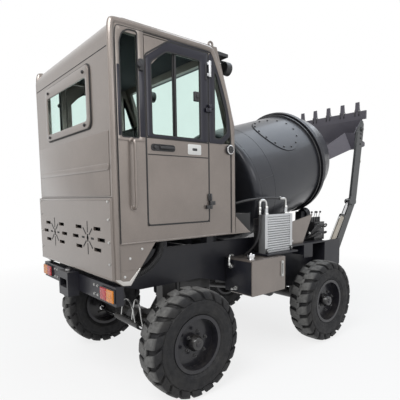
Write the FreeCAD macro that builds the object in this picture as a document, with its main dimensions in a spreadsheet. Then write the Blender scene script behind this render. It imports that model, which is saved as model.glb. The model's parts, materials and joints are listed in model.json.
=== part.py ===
import FreeCAD, Part
import math
import os

import Sketcher

# A small self-loading concrete mixer: a four-wheel carrier with the cab at the rear, an inclined
# drum in the middle, and a loading bucket between two cranked arms at the front.
# Millimetres. +X is forward, +Y is the driver's left, +Z is up, and the floor is z = 0.
# The origin is under the middle of the machine's length.

SIZES = {
    # --- running gear
    "rear_axle_x": -1201.5,
    "wheelbase": 1829,
    "half_track": 791,
    "tyre_radius": 432.5,
    "tyre_width": 243,
    "tyre_shoulder": 26,
    "lug_count": 21,
    "lug_height": 24,
    "lug_lean": 80,
    "lug_inner_width": 78,
    "lug_outer_width": 92,
    "bead_inset": 30,
    "rim_flange_radius": 232,
    "rim_seat_radius": 212,
    "rim_wall": 9,
    "rim_disc_inset": 70,
    "hub_radius": 62,
    "hub_reach": 38,
    "spindle_radius": 30,
    "running_gap": 0.08,
    "axle_radius": 58,
    "axle_housing_radius": 105,
    "kingpin_half_track": 600,
    "kingpin_radius": 20,
    "yoke_height": 190,
    "yoke_plate": 28,
    "knuckle_size": 76,
    "yoke_clearance": 20,
    "steer_arm_length": 130,
    "steer_arm_thickness": 18,
    "steer_barrel_radius": 30,
    "steer_barrel_length": 420,
    "steer_rod_radius": 14,
    "saddle_length": 130,
    # --- chassis
    "frame_half_width": 500,
    "frame_plate": 28,
    "frame_top_z": 1160,
    "frame_bottom_z": 845,
    "frame_rear_overhang": 560,
    "frame_front_reach": 2290,
    "deck_top_z": 1050,
    "deck_plate": 15,
    "deck_start": 1450,
    "deck_wing_end": -180,
    "guard_clearance": 5,
    "guard_plate": 10,
    "front_belly_z": 560,
    "cross_plate": 20,
    "tray_z": 985,
    "cab_mount": 80,
    "pedestal_foot_z": 940,
    "pedestal_plate": 18,
    # --- engine
    "engine_length": 420,
    "engine_width": 500,
    "engine_height": 480,
    "engine_back": 520,
    # --- cab
    "cab_half_width": 749,
    "cab_back": 620,
    "cab_front": 552,
    "cab_floor_z": 1250,
    "cab_top_z": 2775,
    "cab_wall": 35,
    "cab_corner": 130,
    "lifting_eye_radius": 14,
    "lifting_eye_plate": 12,
    "screen_foot_z": 2172,
    "screen_foot_x": 542,
    "screen_mid_drop": 355,
    "screen_mid_x": 468,
    "screen_head_x": 345,
    "screen_sill_z": 1950,
    "screen_head_drop": 85,
    "screen_half_width": 650,
    "roof_seam_drop": 199,
    "visor_inset": 14,
    "hood_z": 1581,
    "hood_front": -100,
    "rear_glass_half_width": 460,
    "rear_glass_low_z": 2100,
    "rear_glass_drop": 275,
    "glass": 6,
    "glass_inset": 14,
    "door_back": -341,
    "door_front": 249,
    "door_low_z": 1377,
    "door_head_drop": 70,
    "door_gap": 6,
    "door_sill_z": 2014,
    "door_stile": 48,
    "door_chamfer": 130,
    "door_pin_radius": 7,
    "door_pin_offset": 16,
    "door_pin_x": 255,
    "hinge_pad": 34,
    "hinge_height": 60,
    "quarter_back": -540,
    "quarter_front": -392,
    "quarter_low_z": 1986,
    "quarter_head_drop": 85,
    "vent_back": 290,
    "vent_front": 500,
    # --- panels round the cab
    "cover_low_z": 1008,
    "cover_plate": 20,
    "star_y": 357,
    "star_z": 1281,
    "star_reach": 234,
    "star_rise": 77,
    "star_slot": 118,
    "star_slot_height": 27,
    "star_slit": 60,
    "star_slit_angle": 41,
    "skirt_plate": 16,
    # --- rear end
    "bumper_low_z": 820,
    "bumper_high_z": 960,
    "bumper_depth": 60,
    "bumper_overhang": 1,
    "handle_reach": 45,
    "handle_radius": 11,
    "side_lamp_x": 476,
    "side_lamp_z": 1969,
    "side_lamp_radius": 35,
    "visor_front": 520,
    "work_lamp_radius": 55,
    "lamp_depth": 22,
    "hitch_length": 95,
    # --- sides
    "tank_back": 655,
    "tank_length": 465,
    "tank_low_z": 680,
    "tank_high_z": 1000,
    "tank_half_width": 850,
    "tank_inner": 580,
    "tank_edge": 8,
    "panel_back": -790,
    "panel_foot": 240,
    "panel_length": 418,
    "panel_height": 311,
    "panel_out": 608,
    "panel_plate": 16,
    "valve_back": -260,
    "valve_out": 560,
    "valve_length": 200,
    "valve_depth": 120,
    "valve_height": 210,
    "shelf_plate": 15,
    "cooler_back": 955,
    "cooler_length": 415,
    "cooler_tank": 36,
    "cooler_groove": 14,
    "cooler_fins": 16,
    "cooler_depth": 80,
    "cooler_half_width": 740,
    "cooler_height": 370,
    # --- drum
    "drum_tilt": 16.3,
    "drum_x": -172,
    "drum_z": 1978,
    "drum_ring_radius": 627,
    "drum_ring_width": 46,
    "drum_front_radius": 586,
    "drum_rear_radius": 612,
    "drum_length": 1205,
    "drum_corner": 60,
    "drum_wall": 6,
    "nose_length": 280,
    "nose_radius": 510,
    "mouth_length": 360,
    "mouth_radius": 400,
    "roller_radius": 70,
    "roller_width": 70,
    "roller_angle": 20,
    "roller_gap": 0.5,
    "roller_pin_radius": 18,
    "gearbox_radius": 150,
    "gearbox_length": 230,
    "drum_shaft_radius": 48,
    "drum_shaft_length": 34,
    "hatch_centre": 463,
    "hatch_angle": 41.5,
    "hatch_radius": 272,
    "hatch_plate": 8,
    # --- loader
    "pivot_x": -120,
    "pivot_z": 560,
    "torque_radius": 45,
    "knee_x": 475,
    "knee_z": 1500,
    "arm_top_x": 610,
    "arm_top_z": 2350,
    "arm_inner": 600,
    "arm_plate": 30,
    "arm_half_depth": 66,
    "bucket_pin_x": 635,
    "bucket_pin_z": 2395,
    "bucket_pin_radius": 20,
    "lift_base_x": -120,
    "lift_base_z": 800,
    "lift_eye_x": 365,
    "lift_eye_z": 1490,
    "lift_barrel_radius": 31,
    "lift_barrel_length": 640,
    "lift_rod_radius": 19,
    "lift_rod_length": 560,
    "tilt_base_x": 570,
    "tilt_base_z": 1480,
    "tilt_eye_x": 800,
    "tilt_eye_z": 2225,
    "tilt_offset": 540,
    "tilt_barrel_radius": 27,
    "tilt_barrel_length": 560,
    "tilt_rod_radius": 15,
    "tilt_rod_length": 440,
    "pin_radius": 18,
    "ear_plate": 12,
    # --- bucket
    "bucket_half_width": 590,
    "bucket_plate": 12,
    "bucket_edge_z": 2636,
    "bucket_edge_x": 708,
    "bucket_edge_half_width": 640,
    "bucket_edge_height": 106,
    "bucket_edge_plate": 20,
    "bucket_floor_x": 725,
    "bucket_floor_z": 2330,
    "bucket_bottom_z": 2145,
    "bucket_lip_x": 541,
    "bucket_lip_z": 2343,
    "bucket_heel": 130,
    "spout_tip_x": 210,
    "spout_tip_z": 1935,
    "spout_tip_half_width": 220,
    "spout_tip_height": 115,
    "spout_root_half_width": 550,
    "spout_top_half_width": 457,
    "spout_top_z": 2360,
    "tooth_count": 6,
    "tooth_spacing": 208,
    "tooth_width": 52,
    "tooth_height": 118,
    "tooth_shank": 60,
    "tooth_thickness": 36,
}

document = FreeCAD.newDocument("SelfLoadingMixer")
sheet = document.addObject("Spreadsheet::Sheet", "Sheet")
for row, (alias, number) in enumerate(SIZES.items(), start=1):
    sheet.set("A%d" % row, alias)
    sheet.set("B%d" % row, str(number))
    sheet.setAlias("B%d" % row, alias)
document.recompute()


class Size:
    """A number together with the spreadsheet expression that gives it."""

    def __init__(self, text, value):
        self.text = text
        self.value = float(value)

    def __add__(self, other):
        other = size(other)
        return Size("(%s + %s)" % (self.text, other.text), self.value + other.value)

    def __sub__(self, other):
        other = size(other)
        return Size("(%s - %s)" % (self.text, other.text), self.value - other.value)

    def __mul__(self, other):
        other = size(other)
        return Size("(%s * %s)" % (self.text, other.text), self.value * other.value)

    def __truediv__(self, other):
        other = size(other)
        return Size("(%s / %s)" % (self.text, other.text), self.value / other.value)

    def __radd__(self, other):
        return size(other) + self

    def __rsub__(self, other):
        return size(other) - self

    def __rmul__(self, other):
        return size(other) * self

    def __neg__(self):
        return Size("(0 - %s)" % self.text, -self.value)


def size(item):
    """The Size of a sheet alias, of a plain number, or of a Size itself."""
    if isinstance(item, Size):
        return item
    if isinstance(item, str):
        return Size("Sheet.%s" % item, SIZES[item])
    return Size(repr(item), item)


def sine(angle):
    angle = size(angle)
    return Size("sin(%s)" % angle.text, math.sin(math.radians(angle.value)))


def cosine(angle):
    angle = size(angle)
    return Size("cos(%s)" % angle.text, math.cos(math.radians(angle.value)))


def station(distance):
    """The X of a point that lies a distance ahead of the rear axle."""
    return size("rear_axle_x") + distance


def past_nose(distance):
    """The X of a point that lies a distance ahead of the chassis's nose, which carries drum and loader."""
    return station("frame_front_reach") + distance


def under_roof(drop):
    """The Z of a point this far below the cab's top."""
    return size("cab_top_z") - drop


def heading(run, rise):
    """The angle in degrees from +X towards +Z of a line with this run and rise."""
    run = size(run)
    rise = size(rise)
    text = "(atan2(%s; %s) / 1 deg)" % (rise.text, run.text)
    return Size(text, math.degrees(math.atan2(rise.value, run.value)))


def span(run, rise):
    """The length of a line with this run and rise."""
    run = size(run)
    rise = size(rise)
    text = "sqrt(pow(%s; 2) + pow(%s; 2))" % (run.text, rise.text)
    return Size(text, math.hypot(run.value, rise.value))


# ---------------------------------------------------------------- building blocks

def bind(item, path, number):
    item.setExpression(path, size(number).text)


def seat(item, x=0, y=0, z=0):
    """Place an object's own origin at x, y, z."""
    for axis, number in zip("xyz", (x, y, z)):
        bind(item, "Placement.Base.%s" % axis, number)


def lean(item, angle):
    """Turn an object in the XZ plane, so that its local X points up by this angle."""
    item.Placement = FreeCAD.Placement(FreeCAD.Vector(), FreeCAD.Rotation(FreeCAD.Vector(0, 1, 0), -1))
    bind(item, "Placement.Rotation.Angle", -size(angle))


def box(name, low, sides):
    """A block from its low corner and its three sides."""
    item = document.addObject("Part::Box", name)
    for prop, number in zip(("Length", "Width", "Height"), sides):
        bind(item, prop, number)
    seat(item, *low)
    return item


def wide_box(name, x, length, half_width, z, height):
    """A block centred on the machine's middle plane."""
    return box(name, (x, -size(half_width), z), (length, size(half_width) * 2, height))


TURNS = {"x": ((0, 1, 0), 90), "y": ((1, 0, 0), -90), "z": ((0, 0, 1), 0)}


def rod(name, radius, length, start, axis="y"):
    """A cylinder that starts at a point and runs along +X, +Y or +Z."""
    item = document.addObject("Part::Cylinder", name)
    bind(item, "Radius", radius)
    bind(item, "Height", length)
    direction, angle = TURNS[axis]
    turn = FreeCAD.Rotation(FreeCAD.Vector(*direction), angle)
    item.Placement = FreeCAD.Placement(FreeCAD.Vector(), turn)
    seat(item, *start)
    return item


def fuse(name, items):
    item = document.addObject("Part::MultiFuse", name)
    item.Shapes = items
    return item


def cut(name, base, tool):
    item = document.addObject("Part::Cut", name)
    item.Base = base
    item.Tool = tool
    return item


def common(name, base, tool):
    item = document.addObject("Part::Common", name)
    item.Base = base
    item.Tool = tool
    return item


def mirrored(name, source):
    """The same piece on the machine's other side."""
    item = document.addObject("Part::Mirroring", name)
    item.Source = source
    item.Normal = FreeCAD.Vector(0, 1, 0)
    return item


def pair(name, source):
    """A piece and its mirror image as one object."""
    return fuse(name, [source, mirrored(name + "_mirror", source)])


def outline(body, role, points):
    """A closed sketch through the points on one of the body's own planes."""
    sketch = body.newObject("Sketcher::SketchObject", body.Name + "_sketch")
    planes = [plane for plane in body.Origin.OriginFeatures if plane.Role == role]
    sketch.AttachmentSupport = (planes[0], [""])
    sketch.MapMode = "FlatFace"
    draw(sketch, points)
    return sketch


def draw(sketch, points):
    """Fill a sketch with a closed outline, each corner held by its distances from the origin."""
    points = [(size(a), size(b)) for a, b in points]
    count = len(points)
    vectors = [FreeCAD.Vector(a.value, b.value, 0) for a, b in points]
    lines = [Part.LineSegment(vectors[i], vectors[(i + 1) % count]) for i in range(count)]
    sketch.addGeometry(lines, False)
    for i in range(count):
        sketch.addConstraint([Sketcher.Constraint("Coincident", i, 2, (i + 1) % count, 1)])
    for i, (a, b) in enumerate(points):
        for kind, number in (("DistanceX", a), ("DistanceY", b)):
            index = sketch.addConstraint(Sketcher.Constraint(kind, -1, 1, i, 1, number.value))
            sketch.setExpression("Constraints[%d]" % index, number.text)


def slab(name, points, low_y, depth, rounds=None):
    """A plate with an outline in X and Z that starts at low_y and is depth thick.

    rounds gives a radius for some of the outline's corners, by their number.
    """
    body = document.addObject("PartDesign::Body", name)
    sketch = outline(body, "XZ_Plane", points)
    pad = body.newObject("PartDesign::Pad", name + "_pad")
    pad.Profile = sketch
    pad.Reversed = True
    bind(pad, "Length", depth)
    body.Tip = pad
    document.recompute()
    for number, radius in (rounds or {}).items():
        x, z = (size(part).value for part in points[number])
        round_edge(body, edge_along_y(body.Tip.Shape, x, z), radius)
    seat(body, 0, low_y, 0)
    return body


def round_edge(body, edge, radius):
    """Round one edge of the body's last feature."""
    base = body.Tip
    fillet = body.newObject("PartDesign::Fillet", base.Name + "_round")
    fillet.Base = (base, [edge])
    bind(fillet, "Radius", radius)
    body.Tip = fillet
    document.recompute()


def edge_along_y(shape, x, z):
    """The name of the edge parallel to Y that passes through x and z."""
    for number, edge in enumerate(shape.Edges, start=1):
        ends = [vertex.Point for vertex in edge.Vertexes]
        if all(math.hypot(end.x - x, end.z - z) < 0.01 for end in ends) and len(ends) == 2:
            return "Edge%d" % number
    raise ValueError("no edge at %.1f, %.1f" % (x, z))


def turned(name, points, role="XZ_Plane", rounds=None):
    """A solid of revolution about the outline's first axis: X in XZ_Plane, or Y in YZ_Plane."""
    body = document.addObject("PartDesign::Body", name)
    sketch = outline(body, role, points)
    turn = body.newObject("PartDesign::Revolution", name + "_turn")
    turn.Profile = sketch
    turn.ReferenceAxis = (sketch, ["H_Axis"])
    turn.Angle = 360
    body.Tip = turn
    document.recompute()
    for number, radius in (rounds or {}).items():
        along, out = (size(part).value for part in points[number])
        round_edge(body, edge_round(body.Tip.Shape, role, along, out), radius)
    return body


def edge_round(shape, role, along, out):
    """The name of the circular edge of radius out at this distance along the axis."""
    for number, edge in enumerate(shape.Edges, start=1):
        if not hasattr(edge.Curve, "Center") or not hasattr(edge.Curve, "Radius"):
            continue
        centre = edge.Curve.Center
        place = centre.x if role == "XZ_Plane" else centre.y
        if abs(place - along) < 0.01 and abs(edge.Curve.Radius - out) < 0.01:
            return "Edge%d" % number
    raise ValueError("no circle at %.1f, radius %.1f" % (along, out))


NODES = {}


def node(name, item):
    """Keep an object as a finished piece, exported under this name."""
    item.Label = name
    NODES[name] = item
    return item


# ---------------------------------------------------------------- running gear

FRONT_AXLE = station("wheelbase")
REAR_AXLE = station(0)
AXLE_Z = size("tyre_radius")
WHEELS = {
    "rear_right": (REAR_AXLE, -1),
    "rear_left": (REAR_AXLE, 1),
    "front_right": (FRONT_AXLE, -1),
    "front_left": (FRONT_AXLE, 1),
}


def split(first, second, third, fourth):
    """A four-cornered patch that need not be flat, as two triangles."""
    return [[first, second, third], [first, third, fourth]]


def strip(line, next_line):
    """The triangles between two rows of corners."""
    faces = []
    for number in range(len(line) - 1):
        faces += split(line[number], line[number + 1], next_line[number + 1], next_line[number])
    return faces


def in_lugs(length):
    """A length along the tread, counted in lugs with their grooves."""
    return size(length).value * size("lug_count").value / (math.tau * size("tyre_radius").value)


def tyre_faces(side, start):
    """One lug with the groove after it, the side wall under both and their share of the bore.

    Turns count in lugs from the wheel's top, and a lug's two ends lean apart by its lean. The two
    rows of lugs mesh half a lug apart, and each starts at the wheel's middle plane.
    """
    top = size("tyre_radius").value
    half = size("tyre_width").value / 2
    shoulder = size("tyre_shoulder").value
    floor = top - size("lug_height").value
    flange = size("rim_flange_radius").value
    bead = half - size("bead_inset").value
    pitch = math.tau / size("lug_count").value
    inner = in_lugs("lug_inner_width") / 2
    outer = in_lugs("lug_outer_width") / 2
    lean = in_lugs("lug_lean")

    def corner(turn, aside, out):
        angle = (turn + start) * pitch
        return FreeCAD.Vector(out * math.sin(angle), side * aside, out * math.cos(angle))

    sections = (
        (0, top, floor, 0, inner),
        (half - shoulder, top - 4, floor - 4, lean * 0.75, outer),
        (half, top - shoulder, floor - shoulder * 2, lean, outer),
    )
    before, after, before_foot, after_foot, next_foot = [], [], [], [], []
    for aside, high, low, middle, reach in sections:
        before.append(corner(middle - reach, aside, high))
        after.append(corner(middle + reach, aside, high))
        before_foot.append(corner(middle - reach, aside, low))
        after_foot.append(corner(middle + reach, aside, low))
        next_foot.append(corner(middle - reach + 1, aside, low))
    meshed = 0.5 - inner
    inner_line = [corner(turn, 0, top) for turn in (-meshed, meshed)]
    inner_foot = [corner(turn, 0, floor) for turn in (-meshed, meshed)]
    faces = [
        [before[0], inner_line[0], before[1]],
        [inner_line[0], inner_line[1], before[1]],
        [inner_line[1], after[1], before[1]],
        [inner_line[1], after[0], after[1]],
        inner_line + inner_foot[::-1],
        [before[2], after[2], after_foot[2], before_foot[2]],
    ]
    faces += split(before[1], after[1], after[2], before[2])
    faces += strip(before, before_foot)
    faces += strip(after, after_foot)
    faces += strip(after_foot, next_foot)
    wide_line = [corner(turn, half, flange + 50) for turn in (0.25, 0.75, 1.25)]
    flange_line = [corner(turn, bead, flange / math.cos(pitch / 4)) for turn in (0.25, 0.75, 1.25)]
    faces += strip([before_foot[2], after_foot[2], next_foot[2]], wide_line)
    faces += [wide_line[:2] + flange_line[1::-1], wide_line[1:] + flange_line[:0:-1]]
    seat_radius = size("rim_seat_radius").value / math.cos(pitch / 2)
    seats = [corner(turn, bead, seat_radius) for turn in (0.25, 1.25)]
    faces += [
        [seats[0], flange_line[0], flange_line[1]],
        [seats[0], flange_line[1], seats[1]],
        [seats[1], flange_line[1], flange_line[2]],
        [seats[0], seats[1], corner(0.75, -bead, seat_radius)],
    ]
    return faces


def make_tyre():
    """The tyre about Y, with flat faces: two rows of leaning lugs over the side walls and the bore.

    It is turned so that one lug's corner is its lowest point and stands on the floor.
    """
    count = int(size("lug_count").value)
    turned_by = count / 2 + in_lugs("lug_inner_width") / 2
    faces = []
    for number in range(count):
        start = number + turned_by
        faces += tyre_faces(1, start) + tyre_faces(-1, start + 0.5)
    shell = Part.makeShell([Part.Face(Part.makePolygon(corners + corners[:1])) for corners in faces])
    shell.sewShape()
    solid = Part.makeSolid(shell)
    if solid.Volume < 0:
        solid.reverse()
    return solid


def make_rim():
    """The rim about Y with its outer side at -Y: well, flanges, set-back disc and hub."""
    half = size("tyre_width") / 2 - "bead_inset"
    seat_radius = size("rim_seat_radius")
    flange = size("rim_flange_radius")
    wall = size("rim_wall")
    well = seat_radius - wall
    disc = -half + "rim_disc_inset"
    hub = size("hub_radius")
    bore = size("spindle_radius") + "running_gap"
    points = [
        (-half - wall, flange),
        (-half - wall, well),
        (disc, well),
        (disc, hub),
        (disc - "hub_reach", hub),
        (disc - "hub_reach", 0),
        (disc, 0),
        (disc, bore),
        (half, bore),
        (half, hub),
        (disc + wall, hub),
        (disc + wall, well),
        (half + wall, well),
        (half + wall, flange),
        (half, flange),
        (half, seat_radius),
        (-half, seat_radius),
        (-half, flange),
    ]
    return turned("rim", points, "YZ_Plane")


def make_wheels():
    tyre = make_tyre()
    rim_body = make_rim()
    rim_body_left = mirrored("rim_left", rim_body)
    document.recompute()
    rim, rim_left = rim_body.Shape, rim_body_left.Shape
    for place, (x, side) in WHEELS.items():
        for kind, source in (("tyre", tyre), ("rim", rim if side < 0 else rim_left)):
            copy = document.addObject("Part::Feature", "%s_%s" % (kind, place))
            copy.Shape = source.copy()
            seat(copy, x, size("half_track") * side, AXLE_Z)
            node("%s_%s" % (kind, place), copy)


def axle_beam(name, x, half_length, saddle_top):
    """A round axle tube with its drive housing and the two saddles under the frame."""
    half_length = size(half_length)
    tube = rod(name + "_tube", "axle_radius", half_length * 2, (x, -half_length, AXLE_Z))
    housing_width = size("axle_housing_radius") * 1.5
    housing = rod(name + "_housing", "axle_housing_radius", housing_width, (x, -housing_width / 2, AXLE_Z))
    saddle_width = size(90)
    saddle = box(
        name + "_saddle",
        (x - size("saddle_length") / 2, size("frame_half_width") - saddle_width, AXLE_Z),
        ("saddle_length", saddle_width, size(saddle_top) - AXLE_Z),
    )
    return fuse(name + "_beam", [tube, housing, pair(name + "_saddles", saddle)])


def make_front_axle():
    """The front axle does not steer: its ends carry the spindles."""
    end = size("half_track") - size("tyre_width") / 2 - 20
    beam = axle_beam("front", FRONT_AXLE, end, "front_belly_z")
    reach = size("half_track") - 12
    spindle = rod("front_spindle", "spindle_radius", reach * 2, (FRONT_AXLE, -reach, AXLE_Z))
    node("front_axle", fuse("front_axle_whole", [beam, spindle]))


def make_rear_axle():
    """The rear axle ends in yokes that hold the steering knuckles between two lugs."""
    end = size("kingpin_half_track") - size("knuckle_size") / 2 - "yoke_clearance"
    beam = axle_beam("rear", REAR_AXLE, end, "frame_bottom_z")
    plate = size("yoke_plate")
    height = size("yoke_height")
    size_y = size("knuckle_size")
    back_low = (REAR_AXLE - size_y / 2, end - plate, AXLE_Z - height / 2)
    back = box("yoke_back", back_low, (size_y, plate, height))
    lug_length = size("kingpin_half_track") + size_y / 2 - end
    top = box(
        "yoke_top",
        (REAR_AXLE - size_y / 2, end, AXLE_Z + height / 2 - plate),
        (size_y, lug_length, plate),
    )
    low = box("yoke_low", (REAR_AXLE - size_y / 2, end, AXLE_Z - height / 2), (size_y, lug_length, plate))
    pin = rod(
        "kingpin",
        "kingpin_radius",
        height,
        (REAR_AXLE, "kingpin_half_track", AXLE_Z - height / 2),
        "z",
    )
    yoke = fuse("yoke", [back, top, low, pin])
    barrel_y = size("steer_barrel_length") / 2
    barrel_x = steer_x()
    barrel = rod("steer_barrel_body", "steer_barrel_radius", barrel_y * 2, (barrel_x, -barrel_y, AXLE_Z))
    bore = rod(
        "steer_barrel_bore",
        size("steer_rod_radius") + "running_gap",
        barrel_y * 2 + 2,
        (barrel_x, -barrel_y - 1, AXLE_Z),
    )
    bracket = box(
        "steer_bracket",
        (barrel_x, barrel_y - 70, AXLE_Z - 20),
        (REAR_AXLE - barrel_x, 40, 40),
    )
    barrel_set = cut("steer_barrel_set", fuse("steer_fixed", [barrel, pair("steer_brackets", bracket)]), bore)
    node("rear_axle", fuse("rear_axle_whole", [beam, pair("yokes", yoke), barrel_set]))


def steer_x():
    """The X of the steering cylinder, behind the rear axle in line with the steering arms' ends."""
    return REAR_AXLE - "steer_arm_length"


def make_knuckles():
    """Each knuckle turns on its kingpin and carries the wheel's spindle and a steering arm."""
    side = size("knuckle_size")
    inside = size("yoke_height") - size("yoke_plate") * 2 - 2
    low = AXLE_Z - inside / 2
    block = box(
        "knuckle_block",
        (REAR_AXLE - side / 2, size("kingpin_half_track") - side / 2, low),
        (side, side, inside),
    )
    spindle = rod(
        "knuckle_spindle",
        "spindle_radius",
        size("half_track") - 12 - "kingpin_half_track",
        (REAR_AXLE, "kingpin_half_track", AXLE_Z),
    )
    arm = box(
        "knuckle_arm",
        (steer_x() - 16, size("kingpin_half_track") - 20, low),
        (size("steer_arm_length") + 16, 32, "steer_arm_thickness"),
    )
    hole = rod(
        "knuckle_hole",
        size("kingpin_radius") + "running_gap",
        inside + 2,
        (REAR_AXLE, "kingpin_half_track", low - 1),
        "z",
    )
    left = cut("knuckle_left_whole", fuse("knuckle_solid", [block, spindle, arm]), hole)
    node("knuckle_left", left)
    node("knuckle_right", mirrored("knuckle_right_whole", left))


def make_steering_rod():
    """One rod through the steering cylinder, with an eye over each steering arm's end."""
    reach = size("kingpin_half_track") - 34
    shaft = rod("steer_rod_shaft", "steer_rod_radius", reach * 2, (steer_x(), -reach, AXLE_Z))
    eye = rod("steer_rod_eye", size("steer_rod_radius") + 8, 30, (steer_x(), reach - 15, AXLE_Z))
    node("steering_rod", fuse("steering_rod_whole", [shaft, pair("steer_rod_eyes", eye)]))


# ---------------------------------------------------------------- the drum's place

def drum_point(along, below=0):
    """X and Z of a point this far along the drum's axis and this far below it."""
    along = size(along)
    below = size(below)
    x = past_nose("drum_x") + along * cosine("drum_tilt") + below * sine("drum_tilt")
    z = size("drum_z") + along * sine("drum_tilt") - below * cosine("drum_tilt")
    return x, z


GEARBOX_BACK = -(size("drum_length") + "drum_shaft_length" + "gearbox_length")
GEARBOX_X, GEARBOX_Z = drum_point(GEARBOX_BACK + size("gearbox_length") / 2)


# ---------------------------------------------------------------- chassis and engine

ARM_OUTER = size("arm_inner") + "arm_plate"
ARM_MIDDLE = size("arm_inner") + size("arm_plate") / 2
DECK_HALF_WIDTH = ARM_MIDDLE + "lift_barrel_radius" + "guard_clearance" + "guard_plate"


def make_frame():
    """Two deep side plates, cross plates, the front deck and the loader's fixed brackets."""
    half = size("frame_half_width")
    plate = size("frame_plate")
    top = size("frame_top_z")
    deck_under = size("deck_top_z") - "deck_plate"
    tail = station(-size("frame_rear_overhang"))
    nose = station("frame_front_reach")
    belly = size("front_belly_z")
    foot = size("pivot_z") - 90
    points = [
        (tail, top),
        (tail, 930),
        (station(-290), "frame_bottom_z"),
        (station(345), "frame_bottom_z"),
        (station(655), 769),
        (station(1300), 600),
        (FRONT_AXLE - 200, belly),
        (FRONT_AXLE + 200, belly),
        (FRONT_AXLE + 235, foot),
        (nose, foot),
        (nose, deck_under),
        (station("deck_start"), deck_under),
        (station(1400), top),
    ]
    side = slab("frame_side", points, half - plate, plate)
    shaft_hole = rod(
        "frame_shaft_hole",
        size("torque_radius") + "running_gap",
        plate + 4,
        (past_nose("pivot_x"), half - plate - 2, "pivot_z"),
    )
    bored = cut("frame_side_bored", side, shaft_hole)
    inner = half - plate
    cross = size("cross_plate")
    crosses = [
        wide_box("cross_tail", tail, cross, inner, 930, top - 930),
        wide_box("cross_tray", tail + cross, 560, inner, size("tray_z") - 15, 15),
        wide_box("cross_mid", station(560), cross, inner, 830, 250),
        wide_box("cross_base", GEARBOX_X - 150, 300, inner, "pedestal_foot_z", "pedestal_plate"),
        wide_box("cross_nose", nose - cross, cross, inner, 630, deck_under - 630),
    ]
    deck_start = station("deck_start")
    deck = wide_box("deck_top", deck_start, nose - deck_start, half, deck_under, "deck_plate")
    wing_length = past_nose("deck_wing_end") - deck_start
    wings = wide_box("deck_wings", deck_start, wing_length, DECK_HALF_WIDTH, deck_under, "deck_plate")
    web = box(
        "deck_web",
        (past_nose("deck_wing_end") - cross, half, 720),
        (cross, DECK_HALF_WIDTH - half, deck_under - 720),
    )
    rib = box(
        "deck_rib",
        (station(1690), half, deck_under - 110),
        (cross, DECK_HALF_WIDTH - half, 110),
    )
    guard = box(
        "deck_guard",
        (past_nose("deck_wing_end") - cross, DECK_HALF_WIDTH - "guard_plate", 740),
        (320, "guard_plate", size("deck_top_z") - 740),
    )
    fairing = box(
        "deck_fairing",
        (station(1690), DECK_HALF_WIDTH - "guard_plate", 890),
        (160, "guard_plate", deck_under - 890),
    )
    pin = rod(
        "lift_base_pin",
        "pin_radius",
        DECK_HALF_WIDTH - "guard_plate" - half,
        (past_nose("lift_base_x"), half, "lift_base_z"),
    )
    mounts = [
        box(
            "cab_mount_%d" % number,
            (station(distance), half - "cab_mount", top),
            ("cab_mount", "cab_mount", size("cab_floor_z") - top),
        )
        for number, distance in enumerate((-90, 430))
    ]
    outboard = fuse("frame_outboard", [bored, web, rib, guard, fairing, pin] + mounts)
    node("chassis_frame", fuse("chassis_whole", [pair("frame_sides", outboard), deck, wings] + crosses))


def make_engine():
    """The engine as one block on the tray behind the seat."""
    back = station(-size("engine_back"))
    node(
        "engine_block",
        wide_box("engine", back, "engine_length", size("engine_width") / 2, "tray_z", "engine_height"),
    )


# ---------------------------------------------------------------- cab

CAB_BACK = station(-size("cab_back"))
CAB_FRONT = station("cab_front")
CAB_INNER = size("cab_half_width") - "cab_wall"
BUMPER_HALF_WIDTH = size("cab_half_width") + "bumper_overhang"


def cab_solid(name, inset):
    """The cab's outer form, drawn in from its surface by an inset on every side."""
    inset = size(inset)
    half = size("cab_half_width") - inset
    points = [
        (CAB_BACK + inset, size("cab_floor_z") + inset),
        (CAB_FRONT - inset, size("cab_floor_z") + inset),
        (station("screen_foot_x") - inset, "screen_foot_z"),
        (station("screen_mid_x") - inset, under_roof("screen_mid_drop")),
        (station("screen_head_x") - inset * 0.7, size("cab_top_z") - inset),
        (CAB_BACK + inset, size("cab_top_z") - inset),
    ]
    return slab(name, points, -half, half * 2, {5: size("cab_corner") - inset})


def side_opening(name, points):
    """A cutter with this outline through both side walls."""
    return pair(name + "_both", slab(name, points, CAB_INNER - 5, size("cab_wall") + 10))


def rectangle(back, front, low, high):
    return [(back, low), (front, low), (front, high), (back, high)]


def door_outline(grow=0):
    """The door's edge, or the edge of its opening where grow is the gap round it."""
    return rectangle(
        station("door_back") - grow,
        station("door_front") + grow,
        size("door_low_z") - grow,
        under_roof("door_head_drop") + grow,
    )


def door_window():
    """The door's glazed opening, with its upper rear corner cut off."""
    back = station("door_back") + "door_stile"
    front = station("door_front") - "door_stile"
    top = under_roof("door_head_drop") - 65
    chamfer = size("door_chamfer")
    return [
        (back, "door_sill_z"),
        (front, "door_sill_z"),
        (front, top),
        (back + chamfer, top),
        (back, top - chamfer),
    ]


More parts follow.
